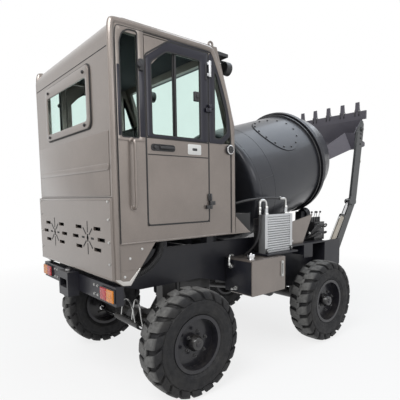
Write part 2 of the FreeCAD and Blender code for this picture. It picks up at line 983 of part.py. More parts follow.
def make_cab():
    """A hollow cab over the engine, its roof panel, its fixed panes and the two doors."""
    shell = cut("cab_hollow", cab_solid("cab_outer", 0), cab_solid("cab_inner", "cab_wall"))
    wall = size("cab_wall")
    hood_end = station("hood_front")
    hood = wide_box("cab_hood", CAB_BACK, hood_end + wall - CAB_BACK, CAB_INNER, size("hood_z") - wall, wall)
    bulkhead_height = size("hood_z") - "cab_floor_z"
    bulkhead = wide_box("cab_bulkhead", hood_end, wall, CAB_INNER, "cab_floor_z", bulkhead_height)
    bay = wide_box(
        "cab_bay",
        CAB_BACK - 1,
        hood_end - CAB_BACK + 1,
        CAB_INNER,
        size("cab_floor_z") - 1,
        bulkhead_height - wall + 1,
    )
    screen = wide_box(
        "cab_screen",
        station("screen_head_x") - 45,
        300,
        "screen_half_width",
        "screen_sill_z",
        under_roof("screen_head_drop") - "screen_sill_z",
    )
    rear_window = wide_box(
        "cab_rear_window",
        CAB_BACK - 1,
        wall + 2,
        "rear_glass_half_width",
        "rear_glass_low_z",
        under_roof("rear_glass_drop") - "rear_glass_low_z",
    )
    quarter_points = rectangle(
        station("quarter_back"),
        station("quarter_front"),
        "quarter_low_z",
        under_roof("quarter_head_drop"),
    )
    quarter = side_opening("cab_quarter", quarter_points)
    vent_points = [
        (station("vent_back"), "door_sill_z"),
        (station("vent_front"), "door_sill_z"),
        (station(size("vent_front") - 70), size("door_sill_z") + 466),
        (station(size("vent_front") - 120), under_roof("quarter_head_drop") - 70),
        (station("vent_back"), under_roof("quarter_head_drop") - 30),
    ]
    vent = side_opening("cab_vent", vent_points)
    doorway = side_opening("cab_doorway", door_outline("door_gap"))
    panes_zone = fuse("cab_panes_zone", [screen, rear_window, quarter, vent])
    openings = fuse("cab_openings", [panes_zone, doorway, bay])
    eye_place = (station(301), CAB_INNER + 4, size("cab_top_z") + 20)
    eye_plate = size("lifting_eye_plate")
    eye = cut(
        "lifting_eye",
        rod("lifting_eye_disc", size("lifting_eye_radius") + 12, eye_plate, eye_place),
        rod("lifting_eye_hole", "lifting_eye_radius", eye_plate, eye_place),
    )
    solid = fuse("cab_solid", [shell, hood, bulkhead])
    framed = fuse("cab_framed", [cut("cab_open", solid, openings), pair("lifting_eyes", eye), cab_hinges()])
    seam = under_roof("roof_seam_drop")
    length = CAB_FRONT - CAB_BACK
    roof_height = size("roof_seam_drop") + 1
    roof_zone = wide_box("roof_zone", CAB_BACK - 1, length, CAB_INNER, seam, roof_height)
    below_roof = cut("cab_below_roof", framed, roof_zone)
    side_zone = box(
        "side_zone",
        (CAB_BACK - 1, CAB_INNER, size("cab_floor_z") - 1),
        (length + 2, size("cab_wall") + 60, size("cab_top_z") - "cab_floor_z" + 60),
    )
    node("cab_side_left", common("cab_side_left_panel", below_roof, side_zone))
    other_zone = mirrored("side_zone_right", side_zone)
    node("cab_side_right", common("cab_side_right_panel", below_roof, other_zone))
    floor_zone = wide_box(
        "floor_zone",
        CAB_BACK + wall,
        length - wall * 2,
        CAB_INNER,
        size("cab_floor_z") - 1,
        bulkhead_height + 1,
    )
    node("cab_floor", common("cab_floor_panel", below_roof, floor_zone))
    zones = fuse("cab_zones", [side_zone, other_zone, floor_zone])
    node("cab_shell", cut("cab_ends", below_roof, zones))
    node("cab_roof", common("cab_roof_panel", framed, roof_zone))
    inner_face = size("glass_inset") + "glass"
    skin = cut("glass_skin", cab_solid("glass_outer", "glass_inset"), cab_solid("glass_inner", inner_face))
    node("cab_glass", common("cab_panes", skin, panes_zone))


HINGE_HEIGHTS = (1509, 2280)


def hinge_leaf(name, x, length, z):
    """A hinge's leaf: a pad on the cab's side and a knuckle round the pin."""
    half = size("cab_half_width")
    pin_y = half + "door_pin_offset"
    height = size("hinge_height") / 2 - 1
    length = size(length)
    pad = box(name + "_pad", (x, half, z), (length, 22, height))
    pin_x = station("door_pin_x")
    ahead = x.value > pin_x.value
    arm_start = pin_x if ahead else x
    arm_length = x + length - pin_x if ahead else pin_x - x
    arm = box(name + "_arm", (arm_start, pin_y - 4, z), (arm_length, 8, height))
    knuckle = rod(name + "_knuckle", size("door_pin_radius") + 5, height, (pin_x, pin_y, z), "z")
    return fuse(name, [pad, arm, knuckle])


def cab_hinges():
    """The cab's upper half of each hinge, with the pin that hangs down into the door's half."""
    leaves = []
    half_height = size("hinge_height") / 2
    pin_x = station("door_pin_x")
    pin_y = size("cab_half_width") + "door_pin_offset"
    for number, middle in enumerate(HINGE_HEIGHTS):
        leaf = hinge_leaf("cab_hinge_%d" % number, pin_x + 8, "hinge_pad", size(middle) + 1)
        pin_foot = (pin_x, pin_y, size(middle) - half_height)
        pin = rod("cab_hinge_pin_%d" % number, "door_pin_radius", half_height + 2, pin_foot, "z")
        leaves.append(fuse("cab_hinge_set_%d" % number, [leaf, pin]))
    return pair("cab_hinge_all", fuse("cab_hinge_left", leaves))


def make_doors():
    """Both doors, hinged at their front edge, each with one sheet of glass in its frame."""
    wall = size("cab_wall")
    window = slab("door_window", door_window(), CAB_INNER - 5, wall + 10)
    panel = cut("door_framed", slab("door_panel", door_outline(), CAB_INNER, wall), window)
    leaves = []
    bore_radius = size("door_pin_radius") + "running_gap"
    pin_x = station("door_pin_x")
    pin_y = size("cab_half_width") + "door_pin_offset"
    for number, middle in enumerate(HINGE_HEIGHTS):
        low = size(middle) - size("hinge_height") / 2
        leaf = hinge_leaf("door_hinge_%d" % number, pin_x - 12 - "hinge_pad", "hinge_pad", low)
        bore = rod("door_hinge_bore_%d" % number, bore_radius, "hinge_height", (pin_x, pin_y, low - 5), "z")
        leaves.append(cut("door_hinge_set_%d" % number, leaf, bore))
    left = fuse("door_left_whole", [panel] + leaves)
    node("door_left", left)
    node("door_right", mirrored("door_right_whole", left))
    face = size("cab_half_width") - "glass_inset" - "glass"
    glass = slab("door_glass", door_window(), face, "glass")
    node("door_glass_left", glass)
    node("door_glass_right", mirrored("door_glass_mirror", glass))


def make_cab_fittings():
    """The driver's seat, the steering column, the sun visor, the work lamps and the grab handles."""
    floor = size("cab_floor_z") + "cab_wall"
    seat_points = [
        (station(-40), floor),
        (station(300), floor),
        (station(300), floor + 275),
        (station(400), floor + 315),
        (station(400), floor + 405),
        (station(70), floor + 395),
        (station(-20), floor + 965),
        (station(-110), floor + 945),
        (station(-50), floor + 335),
    ]
    rounds = {3: 30, 4: 40, 6: 30, 7: 30}
    node("driver_seat", slab("driver_seat_body", seat_points, -240, 480, rounds))
    console = wide_box("console_box", station(400), 80, 90, floor, 570)
    shaft = rod("console_shaft", 20, 230, (-30, 0, 0), "x")
    wheel = document.addObject("Part::Torus", "console_wheel")
    wheel.Radius1 = 165
    wheel.Radius2 = 12
    turn = FreeCAD.Rotation(FreeCAD.Vector(0, 1, 0), 90)
    wheel.Placement = FreeCAD.Placement(FreeCAD.Vector(192, 0, 0), turn)
    spoke = box("console_spoke", (187, -165, -15), (10, 330, 30))
    stem = box("console_stem", (187, -15, -165), (10, 30, 165))
    steering_parts = fuse("steering_local", [shaft, wheel, spoke, stem])
    steering = placed("steering_set", steering_parts, station(435), 1805, 120)
    node("steering_console", fuse("console_whole", [console, steering]))
    top = size("cab_top_z")
    slope = (size("screen_mid_x") - "screen_head_x") / "screen_mid_drop"
    thick = size(30)
    visor_points = [
        (station("screen_head_x"), top),
        (station("screen_head_x") + thick * slope, top - thick),
        (station("visor_front"), top - thick),
        (station("visor_front"), top - 5),
    ]
    visor_half = CAB_INNER - "visor_inset"
    node("sun_visor", slab("sun_visor_body", visor_points, -visor_half, visor_half * 2))
    lamp_y = visor_half - 100
    radius = size("work_lamp_radius")
    lamp_z = top - thick - radius
    lamp = rod("work_lamp_body", radius, 60, (station("visor_front") + 35, lamp_y, lamp_z), "x")
    bracket = box(
        "work_lamp_bracket",
        (station("visor_front") - 60, lamp_y - 15, top - thick - 10),
        (140, 30, 10),
    )
    node("work_lamps", pair("work_lamp_pair", fuse("work_lamp", [lamp, bracket])))
    out = size("cab_half_width") + "handle_reach"
    bar = rod("handle_bar", "handle_radius", 480, (station(-460), out, 1500), "z")
    stub_radius = size("handle_radius") - 2
    stubs = [
        rod("handle_stub_%d" % z, stub_radius, "handle_reach", (station(-460), "cab_half_width", z))
        for z in (1520, 1960)
    ]
    node("grab_handles", pair("grab_handle_pair", fuse("grab_handle", [bar] + stubs)))


def star_slot(name, aside, up, length, height, angle=0):
    """One slot of a louvre star, centred beside and above the star's middle and turned by an angle."""
    long = size(length) / 2
    high = size(height) / 2
    corners = []
    for run, rise in ((-1, -1), (1, -1), (1, 1), (-1, 1)):
        y = long * run * cosine(angle) - high * rise * sine(angle)
        z = long * run * sine(angle) + high * rise * cosine(angle)
        corners.append((size("star_y") + aside + y, size("star_z") + up + z))
    return across("cover_slot_" + name, corners, CAB_BACK - "cover_plate" - 1, size("cover_plate") + 2)


def cover_star():
    """The louvre star on the left: eight level slots round six thin radial slits."""
    length = size("star_slot")
    height = size("star_slot_height")
    slots = []
    for name, run in (("right", -1), ("left", 1)):
        for row, rise in (("low", -1), ("high", 1)):
            aside = size("star_reach") * 0.72 * run
            slots.append(star_slot("%s_%s" % (name, row), aside, size("star_rise") * rise, length, height))
            slit = size("star_slit")
            out = size("star_rise") * 0.77
            angle = size("star_slit_angle") * run * rise
            slots.append(star_slot("slit_%s_%s" % (name, row), out * run, out * 0.87 * rise, slit, 7, angle))
        slots.append(star_slot(name + "_outer", size("star_reach") * run, 0, length, height))
        beside = size("star_reach") * 0.36 * run
        slots.append(star_slot(name + "_inner", beside, 0, length * 0.36, height / 2))
    for row, rise in (("low", -1), ("high", 1)):
        slots.append(star_slot("slit_" + row, 0, size("star_rise") * 1.05 * rise, 7, size("star_slit") * 1.3))
    return fuse("cover_star_left", slots)


def make_side_lamps():
    """A round lamp on each side of the cab, in front of its door."""
    foot = (station("side_lamp_x"), "cab_half_width", "side_lamp_z")
    base = rod("side_lamp_base", size("side_lamp_radius") + 5, 8, foot)
    lens = rod("side_lamp_lens", "side_lamp_radius", 26, foot)
    node("side_lamps", pair("side_lamp_pair", fuse("side_lamp", [base, lens])))


def make_panels():
    """The rear cover, the two rear gussets under the cab and the fairing in front of it."""
    half = size("cab_half_width") - 4
    cover_height = size("hood_z") - "cover_low_z"
    cover_back = CAB_BACK - "cover_plate"
    cover = wide_box("rear_cover_plate", cover_back, "cover_plate", half, "cover_low_z", cover_height)
    node("rear_cover", cut("rear_cover_open", cover, pair("cover_stars", cover_star())))
    floor = size("cab_floor_z")
    gusset_points = [
        (station(-280), floor),
        (CAB_BACK, floor),
        (CAB_BACK, "cover_low_z"),
        (station(-564), size("cover_low_z") - 45),
        (station(-500), size("cover_low_z") - 54),
    ]
    gusset = slab("rear_gusset", gusset_points, half - "skirt_plate", "skirt_plate")
    lip = wide_box("front_lip", CAB_FRONT, 184, "cab_half_width", floor, 12)
    fairing_points = [
        (CAB_FRONT, floor + 182),
        (CAB_FRONT, floor + 150),
        (CAB_FRONT + 165, floor + 10),
        (CAB_FRONT + 184, floor + 10),
        (CAB_FRONT + 184, floor + 174),
    ]
    fairing = slab("front_fairing", fairing_points, size("cab_half_width") - "skirt_plate", "skirt_plate")
    front = fuse("front_fairings", [lip, pair("front_fairing_pair", fairing)])
    node("cab_skirts", fuse("cab_skirt_set", [pair("rear_gussets", gusset), front]))


# ---------------------------------------------------------------- rear end and side equipment

def make_rear_end():
    """The bumper beam behind the frame, its lamps, and the pin jaw for towing."""
    low = size("bumper_low_z")
    height = size("bumper_high_z") - low
    node("rear_bumper", wide_box("bumper_beam", CAB_BACK, "bumper_depth", BUMPER_HALF_WIDTH, low, height))
    lamp = box(
        "tail_lamp",
        (CAB_BACK - "lamp_depth", BUMPER_HALF_WIDTH - 220, low + 20),
        ("lamp_depth", 210, height - 40),
    )
    node("tail_lamps", pair("tail_lamp_pair", lamp))
    length = size("hitch_length")
    jaw = wide_box("hitch_block", CAB_BACK - length, length, 100, low - 40, height + 60)
    slot = wide_box("hitch_slot", CAB_BACK - length - 1, length - 20, 74, low + 30, 70)
    pin = rod("hitch_pin", 14, height + 50, (CAB_BACK - length / 2, 0, low - 10), "z")
    knob = rod("hitch_knob", 22, 20, (CAB_BACK - length / 2, 0, low + height + 20), "z")
    node("tow_hitch", fuse("hitch_whole", [cut("hitch_jaw", jaw, slot), pin, knob]))


def cooler_block(low):
    """The cooler without its elbows: a core between two end tanks, with level fins on both faces."""
    x, y, z = low
    length = size("cooler_length")
    depth = size("cooler_depth")
    height = size("cooler_height")
    tank = size("cooler_tank")
    groove = size("cooler_groove")
    core_length = length - tank * 2 + 2
    parts = [
        box("cooler_core", (x + tank - 1, y + groove, z), (core_length, depth - groove * 2, height)),
        box("cooler_tank_rear", low, (tank, depth, height)),
        box("cooler_tank_front", (x + length - tank, y, z), (tank, depth, height)),
    ]
    count = int(size("cooler_fins").value)
    pitch = height / count
    for number in range(count):
        fin_low = (x + tank - 1, y + 2, z + pitch * (number + 0.25))
        parts.append(box("cooler_fin_%d" % number, fin_low, (core_length, depth - 4, pitch * 0.5)))
    return fuse("cooler_block", parts)


def make_side_equipment():
    """Tanks and shelves on both sides, and the oil cooler, panel and valves on the right."""
    frame_side = size("frame_half_width")
    tank_end = station("tank_back") + "tank_length"
    tank_points = rectangle(station("tank_back"), tank_end, "tank_low_z", "tank_high_z")
    depth = size("tank_half_width") - "tank_inner"
    tank = slab("tank_body", tank_points, "tank_inner", depth, {corner: "tank_edge" for corner in range(4)})
    brackets = [
        box(
            "tank_bracket_%d" % number,
            (x, frame_side, size("tank_high_z") - 120),
            (40, size("tank_inner") - frame_side, 80),
        )
        for number, x in enumerate((station("tank_back") + 50, tank_end - 90))
    ]
    left = fuse("tank_whole", [tank] + brackets)
    node("tank_left", left)
    node("tank_right", mirrored("tank_mirror", left))
    shelf_z = size("tank_high_z") + 10
    shelf_back = station("cooler_back") - 25
    shelf = box("side_shelf", (shelf_back, frame_side, shelf_z), (470, 290, "shelf_plate"))
    node("side_shelves", pair("side_shelf_pair", shelf))
    cooler_low = (station("cooler_back"), -size("cooler_half_width"), shelf_z + "shelf_plate")
    core = cooler_block(cooler_low)
    elbow_y = size("cooler_depth") / 2 - "cooler_half_width"
    cooler_top = shelf_z + "shelf_plate" + "cooler_height"
    cooler_front = station("cooler_back") + "cooler_length"
    elbows = [
        rod("cooler_elbow_%d" % number, 18, 60, (x, elbow_y, cooler_top), "z")
        for number, x in enumerate((station("cooler_back") + 60, cooler_front - 60))
    ]
    node("oil_cooler", fuse("cooler_whole", [core] + elbows))
    deck = size("deck_top_z")
    back = past_nose("panel_back")
    panel_points = [
        (back, deck),
        (back + "panel_foot", deck),
        (back + size("panel_foot") * 1.17, deck + size("panel_height") * 0.23),
        (back + "panel_length", deck + "panel_height"),
        (back + 8, deck + size("panel_height") * 0.75),
    ]
    node("front_panel", slab("front_panel_plate", panel_points, -size("panel_out"), "panel_plate"))
    valve_x = past_nose("valve_back")
    valve_y = size("valve_depth") / 2 - "valve_out"
    valve_top = deck + "valve_height"
    valve_sides = ("valve_length", "valve_depth", "valve_height")
    block = box("valve_body", (valve_x, -size("valve_out"), deck), valve_sides)
    spacing = size("valve_length") / 4
    caps = []
    for number in range(4):
        cap_x = valve_x + spacing * (number + 0.5)
        caps.append(rod("valve_cap_%d" % number, 16, 60, (cap_x, valve_y, valve_top - 5), "z"))
    node("valve_block", fuse("valve_whole", [block] + caps))


# ---------------------------------------------------------------- drum

def placed(name, source, x, z, angle):
    """A copy of a piece drawn along +X from the origin, turned up by an angle and moved to x and z."""
    document.recompute()
    copy = document.addObject("Part::Feature", name)
    copy.Shape = source.Shape.copy()
    lean(copy, angle)
    bind(copy, "Placement.Base.x", x)
    bind(copy, "Placement.Base.z", z)
    return copy


def in_drum(name, source):
    """Put a piece drawn along the drum's axis, from the ring's front face, in its place."""
    return placed(name, source, past_nose("drum_x"), "drum_z", "drum_tilt")


def shell_radius(behind):
    """The drum's outer radius this far behind the ring's front face."""
    taper = (size("drum_rear_radius") - "drum_front_radius") / "drum_length"
    return size("drum_front_radius") + taper * behind


def make_drum():
    """The drum's shell with its shaft, the ring it rolls on and its bolted hatch."""
    length = size("drum_length")
    wall = size("drum_wall")
    points = [
        (-length, 0),
        (-length, "drum_rear_radius"),
        (0, "drum_front_radius"),
        ("nose_length", "nose_radius"),
        ("mouth_length", "mouth_radius"),
        ("mouth_length", size("mouth_radius") - wall),
        (size("nose_length") - wall / 2, size("nose_radius") - wall),
        (0, size("drum_front_radius") - wall),
        (wall - length, size("drum_rear_radius") - wall),
        (wall - length, 0),
    ]
    mouth_points = points[2:8]
    rounds = {1: "drum_corner", 4: size("drum_corner") - wall}
    shell = turned("drum_body", points[:3] + points[7:], "XZ_Plane", rounds)
    node("drum_mouth", in_drum("drum_mouth_placed", turned("drum_mouth_local", mouth_points)))
    reach = size("drum_shaft_length") + 40
    shaft = rod("drum_shaft", "drum_shaft_radius", reach + wall, (-length - reach, 0, 0), "x")
    node("drum_shell", in_drum("drum_shell_placed", fuse("drum_shell_local", [shell, shaft])))
    width = size("drum_ring_width")
    ring_points = [
        (-width, shell_radius(width)),
        (0, "drum_front_radius"),
        (0, "drum_ring_radius"),
        (-width, "drum_ring_radius"),
    ]
    node("drum_ring", in_drum("drum_ring_placed", turned("drum_ring_local", ring_points)))
    near = size("hatch_centre") - "hatch_radius" - 20
    far = size("hatch_centre") + "hatch_radius" + 20
    plate = size("hatch_plate")
    band_points = [
        (-far, shell_radius(far)),
        (-near, shell_radius(near)),
        (-near, shell_radius(near) + plate),
        (-far, shell_radius(far) + plate),
    ]
    band = turned("hatch_band", band_points)
    disc = document.addObject("Part::Cylinder", "hatch_disc")
    bind(disc, "Radius", "hatch_radius")
    bind(disc, "Height", size("drum_ring_radius") * 1.2)
    disc.Placement = FreeCAD.Placement(FreeCAD.Vector(), FreeCAD.Rotation(FreeCAD.Vector(1, 0, 0), 1))
    bind(disc, "Placement.Rotation.Angle", "hatch_angle")
    bind(disc, "Placement.Base.x", -size("hatch_centre"))
    node("drum_hatch", in_drum("drum_hatch_placed", common("hatch_local", band, disc)))


def make_drum_drive():
    """The drum's gearbox on its pedestal, with the bore for the drum's shaft."""
    back = GEARBOX_BACK
    case = rod("gearbox_case", "gearbox_radius", "gearbox_length", (back, 0, 0), "x")
    motor_length = size(110)
    motor = rod("gearbox_motor", size("gearbox_radius") * 0.5, motor_length, (back - motor_length, 0, 0), "x")
    bore = rod(
        "gearbox_bore",
        size("drum_shaft_radius") + "running_gap",
        60,
        (back + "gearbox_length" - 45, 0, 0),
        "x",
    )
    gearbox = in_drum("gearbox_placed", cut("gearbox_local", fuse("gearbox_solid", [case, motor]), bore))
    foot = size("pedestal_foot_z") + "pedestal_plate"
    height = GEARBOX_Z - size("gearbox_radius") / 2 - foot
    pedestal = wide_box("pedestal", GEARBOX_X - 75, 150, size("gearbox_radius") - 30, foot, height)
    node("drum_gearbox", fuse("drum_drive", [gearbox, pedestal]))


def make_rollers():
    """Two rollers under the ring, each on a pin that a column holds from behind."""
    middle = -size("drum_ring_width") / 2
    width = size("roller_width")
    reach = size("drum_ring_radius") + "roller_radius" + "roller_gap"
    aside = reach * sine("roller_angle")
    below = reach * cosine("roller_angle")
    back = middle - width / 2
    wheel = rod("roller_solid", "roller_radius", width, (back, aside, -below), "x")
    bore_radius = size("roller_pin_radius") + "running_gap"
    bore = rod("roller_bore", bore_radius, width + 2, (back - 1, aside, -below), "x")
    roller = cut("roller_local", wheel, bore)
    node("roller_left", in_drum("roller_left_placed", roller))
    node("roller_right", in_drum("roller_right_placed", mirrored("roller_local_right", roller)))
    pin_back = back - 50
    pin = rod("roller_pin", "roller_pin_radius", width + 70, (pin_back, aside, -below), "x")
    collar = rod("roller_collar", size("roller_pin_radius") + 12, 8, (back + width + 1, aside, -below), "x")
    pins = in_drum("roller_pins", pair("roller_pins_local", fuse("roller_pin_set", [pin, collar])))
    x, z = drum_point(middle, below)
    deck = size("deck_top_z")
    nose = station("frame_front_reach")
    column_points = [
        (x - 130, deck),
        (nose, deck),
        (nose, z - 179),
        (x - 50, z + 28),
        (x - 115, z + 28),
    ]
    column = slab("roller_column", column_points, aside - 45, 90)
    beam = wide_box("roller_beam", x - 120, nose - x + 110, aside, deck, 60)
    node("roller_stand", fuse("roller_stand_whole", [pins, pair("roller_columns", column), beam]))


# ---------------------------------------------------------------- loader


def lug(name, x, z, reach, spread, low_y, thickness):
    """A lug's plate: a rounded end round x and z that widens over reach towards what carries it."""
    z = size(z)
    nose = size(28) if reach.value > 0 else size(-28)
    points = [
        (x - nose, z - 24),
        (x + reach, z - spread),
        (x + reach, z + spread),
        (x - nose, z + 24),
    ]
    return slab(name, points, low_y, thickness, {0: 20, 3: 20})


def make_arms():
    """The two cranked arms, the tube that joins and pivots them, and the lugs for the cylinders."""
    depth = size("arm_half_depth")
    pivot_x = past_nose("pivot_x")
    knee_x = past_nose("knee_x")
    top_x = past_nose("arm_top_x")
    points = [
        (pivot_x - depth, "pivot_z"),
        (pivot_x + depth, "pivot_z"),
        (knee_x + depth, "knee_z"),
        (top_x + depth, "arm_top_z"),
        (past_nose("bucket_pin_x") + 50, size("bucket_pin_z") + 63),
        (past_nose("bucket_pin_x") + 25, size("bucket_pin_z") + 105),
        (top_x - depth, "arm_top_z"),
        (knee_x - depth, "knee_z"),
    ]
    plate = slab("arm_blade", points, "arm_inner", "arm_plate", {2: 220, 7: 180})
    foot = rod("arm_foot", 75, "arm_plate", (pivot_x, "arm_inner", "pivot_z"))
    nut = rod("arm_nut", 40, 12, (pivot_x, ARM_OUTER, "pivot_z"))
    eye_x = past_nose("lift_eye_x")
    ear = size("ear_plate")
    ears = [
        lug("lift_ear_outer", eye_x, "lift_eye_z", size(120), 50, ARM_OUTER, ear),
        lug("lift_ear_inner", eye_x, "lift_eye_z", size(120), 50, size("arm_inner") - ear, ear),
    ]
    stubs = [
        rod("lift_stub_outer", "pin_radius", 8, (eye_x, ARM_OUTER + ear, "lift_eye_z")),
        rod("lift_stub_inner", "pin_radius", 8, (eye_x, size("arm_inner") - ear - 8, "lift_eye_z")),
    ]
    disc = rod("knee_disc", 65, ear, (knee_x - 30, ARM_OUTER, size("knee_z") + 5))
    base_x = past_nose("tilt_base_x")
    tilt_ear = lug("tilt_base_ear", base_x, "tilt_base_z", size(-110), 55, size("arm_inner") - ear, ear)
    tilt_reach = size("arm_inner") - ear - "tilt_offset" + 25
    tilt_pin = rod(
        "tilt_base_pin",
        "pin_radius",
        tilt_reach,
        (base_x, size("arm_inner") - ear - tilt_reach, "tilt_base_z"),
    )
    pin_x = past_nose("bucket_pin_x")
    hang = rod("bucket_pin", "bucket_pin_radius", 34, (pin_x, size("arm_inner") - 34, "bucket_pin_z"))
    head = rod("bucket_pin_head", 32, 10, (pin_x, ARM_OUTER, "bucket_pin_z"))
    side = fuse("arm_side", [plate, foot, nut, disc, tilt_ear, tilt_pin, hang, head] + ears + stubs)
    tube_start = (pivot_x, -size("arm_inner"), "pivot_z")
    tube = rod("torque_tube", "torque_radius", size("arm_inner") * 2, tube_start)
    node("loader_arms", fuse("arms_whole", [pair("arm_sides", side), tube]))


def cylinder_barrel(kind, eye_radius, eye_width):
    """The lift's or the tilt's hydraulic barrel along +X with its base eye at the origin."""
    ends = ("_barrel", "_barrel_radius", "_barrel_length", "_rod_radius")
    name, radius, length, bore = (kind + end for end in ends)
    eye = rod(name + "_eye", eye_radius, eye_width, (0, -size(eye_width) / 2, 0))
    body = rod(name + "_body", radius, size(length) - 15, (15, 0, 0), "x")
    bore_start = size(eye_radius) + 18
    hole_length = size(length) - bore_start + 1
    hole = rod(name + "_hole", size(bore) + "running_gap", hole_length, (bore_start, 0, 0), "x")
    pin_hole = rod(
        name + "_pin_hole",
        size("pin_radius") + "running_gap",
        size(eye_width) + 80,
        (0, -size(eye_width) / 2 - 40, 0),
    )
    return cut(name + "_local", fuse(name + "_solid", [eye, body]), fuse(name + "_holes", [hole, pin_hole]))


def cylinder_rod(kind, reach, eye_radius, eye_width):
    """The lift's or the tilt's rod along +X whose eye lies at reach."""
    name, radius, length = (kind + end for end in ("_rod", "_rod_radius", "_rod_length"))
    eye = rod(name + "_eye", eye_radius, eye_width, (reach, -size(eye_width) / 2, 0))
    neck = size(70)
    shaft = rod(name + "_shaft", radius, size(length) - neck, (reach - length, 0, 0), "x")
    shank = rod(name + "_shank", size(radius) * 0.72, neck + 5, (reach - neck - 5, 0, 0), "x")
    return fuse(name + "_local", [eye, shaft, shank])


def both_sides(name, source, base, eye, offset):
    """A cylinder part on each side, from its base towards its eye, at this offset from the middle."""
    angle = heading(eye[0] - base[0], eye[1] - base[1])
    left = placed(name + "_left", source, base[0], base[1], angle)
    bind(left, "Placement.Base.y", offset)
    return pair(name + "_pair", left)


def make_cylinders():
    """Two lift cylinders from the frame to the arms, and two tilt cylinders from the arms to the bucket."""
    lift_base = (past_nose("lift_base_x"), size("lift_base_z"))
    lift_eye = (past_nose("lift_eye_x"), size("lift_eye_z"))
    reach = span(lift_eye[0] - lift_base[0], lift_eye[1] - lift_base[1])
    barrel = cylinder_barrel("lift", 30, 56)
    ram = cylinder_rod("lift", reach, 27, size("arm_plate") - 0.6)
    node("lift_barrels", both_sides("lift_barrels", barrel, lift_base, lift_eye, ARM_MIDDLE))
    node("lift_rods", both_sides("lift_rods", ram, lift_base, lift_eye, ARM_MIDDLE))
    tilt_base = (past_nose("tilt_base_x"), size("tilt_base_z"))
    tilt_eye = (past_nose("tilt_eye_x"), size("tilt_eye_z"))
    reach = span(tilt_eye[0] - tilt_base[0], tilt_eye[1] - tilt_base[1])
    barrel = cylinder_barrel("tilt", 28, 30)
    ram = cylinder_rod("tilt", reach, 24, 45)
    node("tilt_barrels", both_sides("tilt_barrels", barrel, tilt_base, tilt_eye, "tilt_offset"))
    node("tilt_rods", both_sides("tilt_rods", ram, tilt_base, tilt_eye, "tilt_offset"))


def across(name, points, x, depth):
    """A plate with an outline in Y and Z that starts at x and is depth thick."""
    body = document.addObject("PartDesign::Body", name)
    sketch = outline(body, "YZ_Plane", points)
    pad = body.newObject("PartDesign::Pad", name + "_pad")
    pad.Profile = sketch
    bind(pad, "Length", depth)
    body.Tip = pad
    seat(body, x, 0, 0)
    return body


def make_bucket():
    """The bucket: side plates, one bent floor plate, the cutting edge, the lips and the cylinders' lugs."""
    plate = size("bucket_plate")
    half = size("bucket_half_width")
    edge_x = past_nose("bucket_edge_x")
    floor_x = past_nose("bucket_floor_x")
    lip_x = past_nose("bucket_lip_x")
    bottom = size("bucket_bottom_z")
    edge_low = size("bucket_edge_z") - "bucket_edge_height"
    flare = (floor_x - edge_x) / (size("bucket_edge_z") - "bucket_floor_z")
    corner_x = floor_x + plate + flare * (size("bucket_floor_z") - bottom)
    outer_points = [
        (lip_x, bottom),
        (corner_x, bottom),
        (floor_x + plate, "bucket_floor_z"),
        (edge_x + plate, edge_low),
        (edge_x, edge_low),
        (lip_x, "bucket_lip_z"),
    ]
    inner_points = [
        (lip_x - 50, bottom + plate),
        (corner_x - plate, bottom + plate),
        (floor_x, "bucket_floor_z"),
        (edge_x, edge_low),
        (edge_x, edge_low + 60),
        (lip_x - 50, edge_low + 60),
    ]
    outer = slab("bucket_outer", outer_points, -half, half * 2, {1: size("bucket_heel") + plate})
    inner_half = half - plate
    inner = slab("bucket_inner", inner_points, -inner_half, inner_half * 2, {1: "bucket_heel"})
    shell = cut("bucket_open", outer, inner)
    edge = wide_box(
        "bucket_edge",
        edge_x,
        "bucket_edge_plate",
        "bucket_edge_half_width",
        edge_low,
        "bucket_edge_height",
    )
    gusset_points = [
        ("spout_root_half_width", bottom),
        (half, bottom),
        (half, "bucket_lip_z"),
        ("spout_top_half_width", "spout_top_z"),
    ]
    gusset = across("bucket_gusset", gusset_points, lip_x, plate)
    pin_x = past_nose("bucket_pin_x")
    boss = rod("bucket_boss", 38, plate, (pin_x, inner_half - plate, "bucket_pin_z"))
    eye_x = past_nose("tilt_eye_x")
    ear = size("ear_plate")
    gap = size(23)
    ears = []
    for number, low_y in enumerate((size("tilt_offset") - gap - ear, size("tilt_offset") + gap)):
        ears.append(lug("tilt_ear_%d" % number, eye_x, "tilt_eye_z", size(-140), 70, low_y, ear))
    stub = rod("tilt_stub", "pin_radius", 8, (eye_x, size("tilt_offset") - gap - ear - 8, "tilt_eye_z"))
    ear_set = cut("tilt_ears", fuse("tilt_ears_long", ears + [stub]), outer)
    side = fuse("bucket_side_parts", [gusset, boss, ear_set])
    hole_radius = size("bucket_pin_radius") + "running_gap"
    hole = rod("bucket_hole", hole_radius, plate * 2 + 2, (pin_x, inner_half - plate - 1, "bucket_pin_z"))
    solid = fuse("bucket_solid", [shell, edge, pair("bucket_side_pair", side)])
    node("bucket_shell", cut("bucket_whole", solid, pair("bucket_holes", hole)))
    make_spout(lip_x, bottom)
    make_teeth(edge_x)


def loft(name, sections):
    """A solid through closed outlines in Y and Z, each given with its X."""
    wires = []
    for number, (x, points) in enumerate(sections):
        sketch = document.addObject("Sketcher::SketchObject", "%s_section_%d" % (name, number))
        turn = FreeCAD.Rotation(FreeCAD.Vector(1, 1, 1), 120)
        sketch.Placement = FreeCAD.Placement(FreeCAD.Vector(), turn)
        bind(sketch, "Placement.Base.x", x)
        draw(sketch, points)
        wires.append(sketch)
    item = document.addObject("Part::Loft", name)
    item.Sections = wires
    item.Solid = True
    item.Ruled = True
    return item


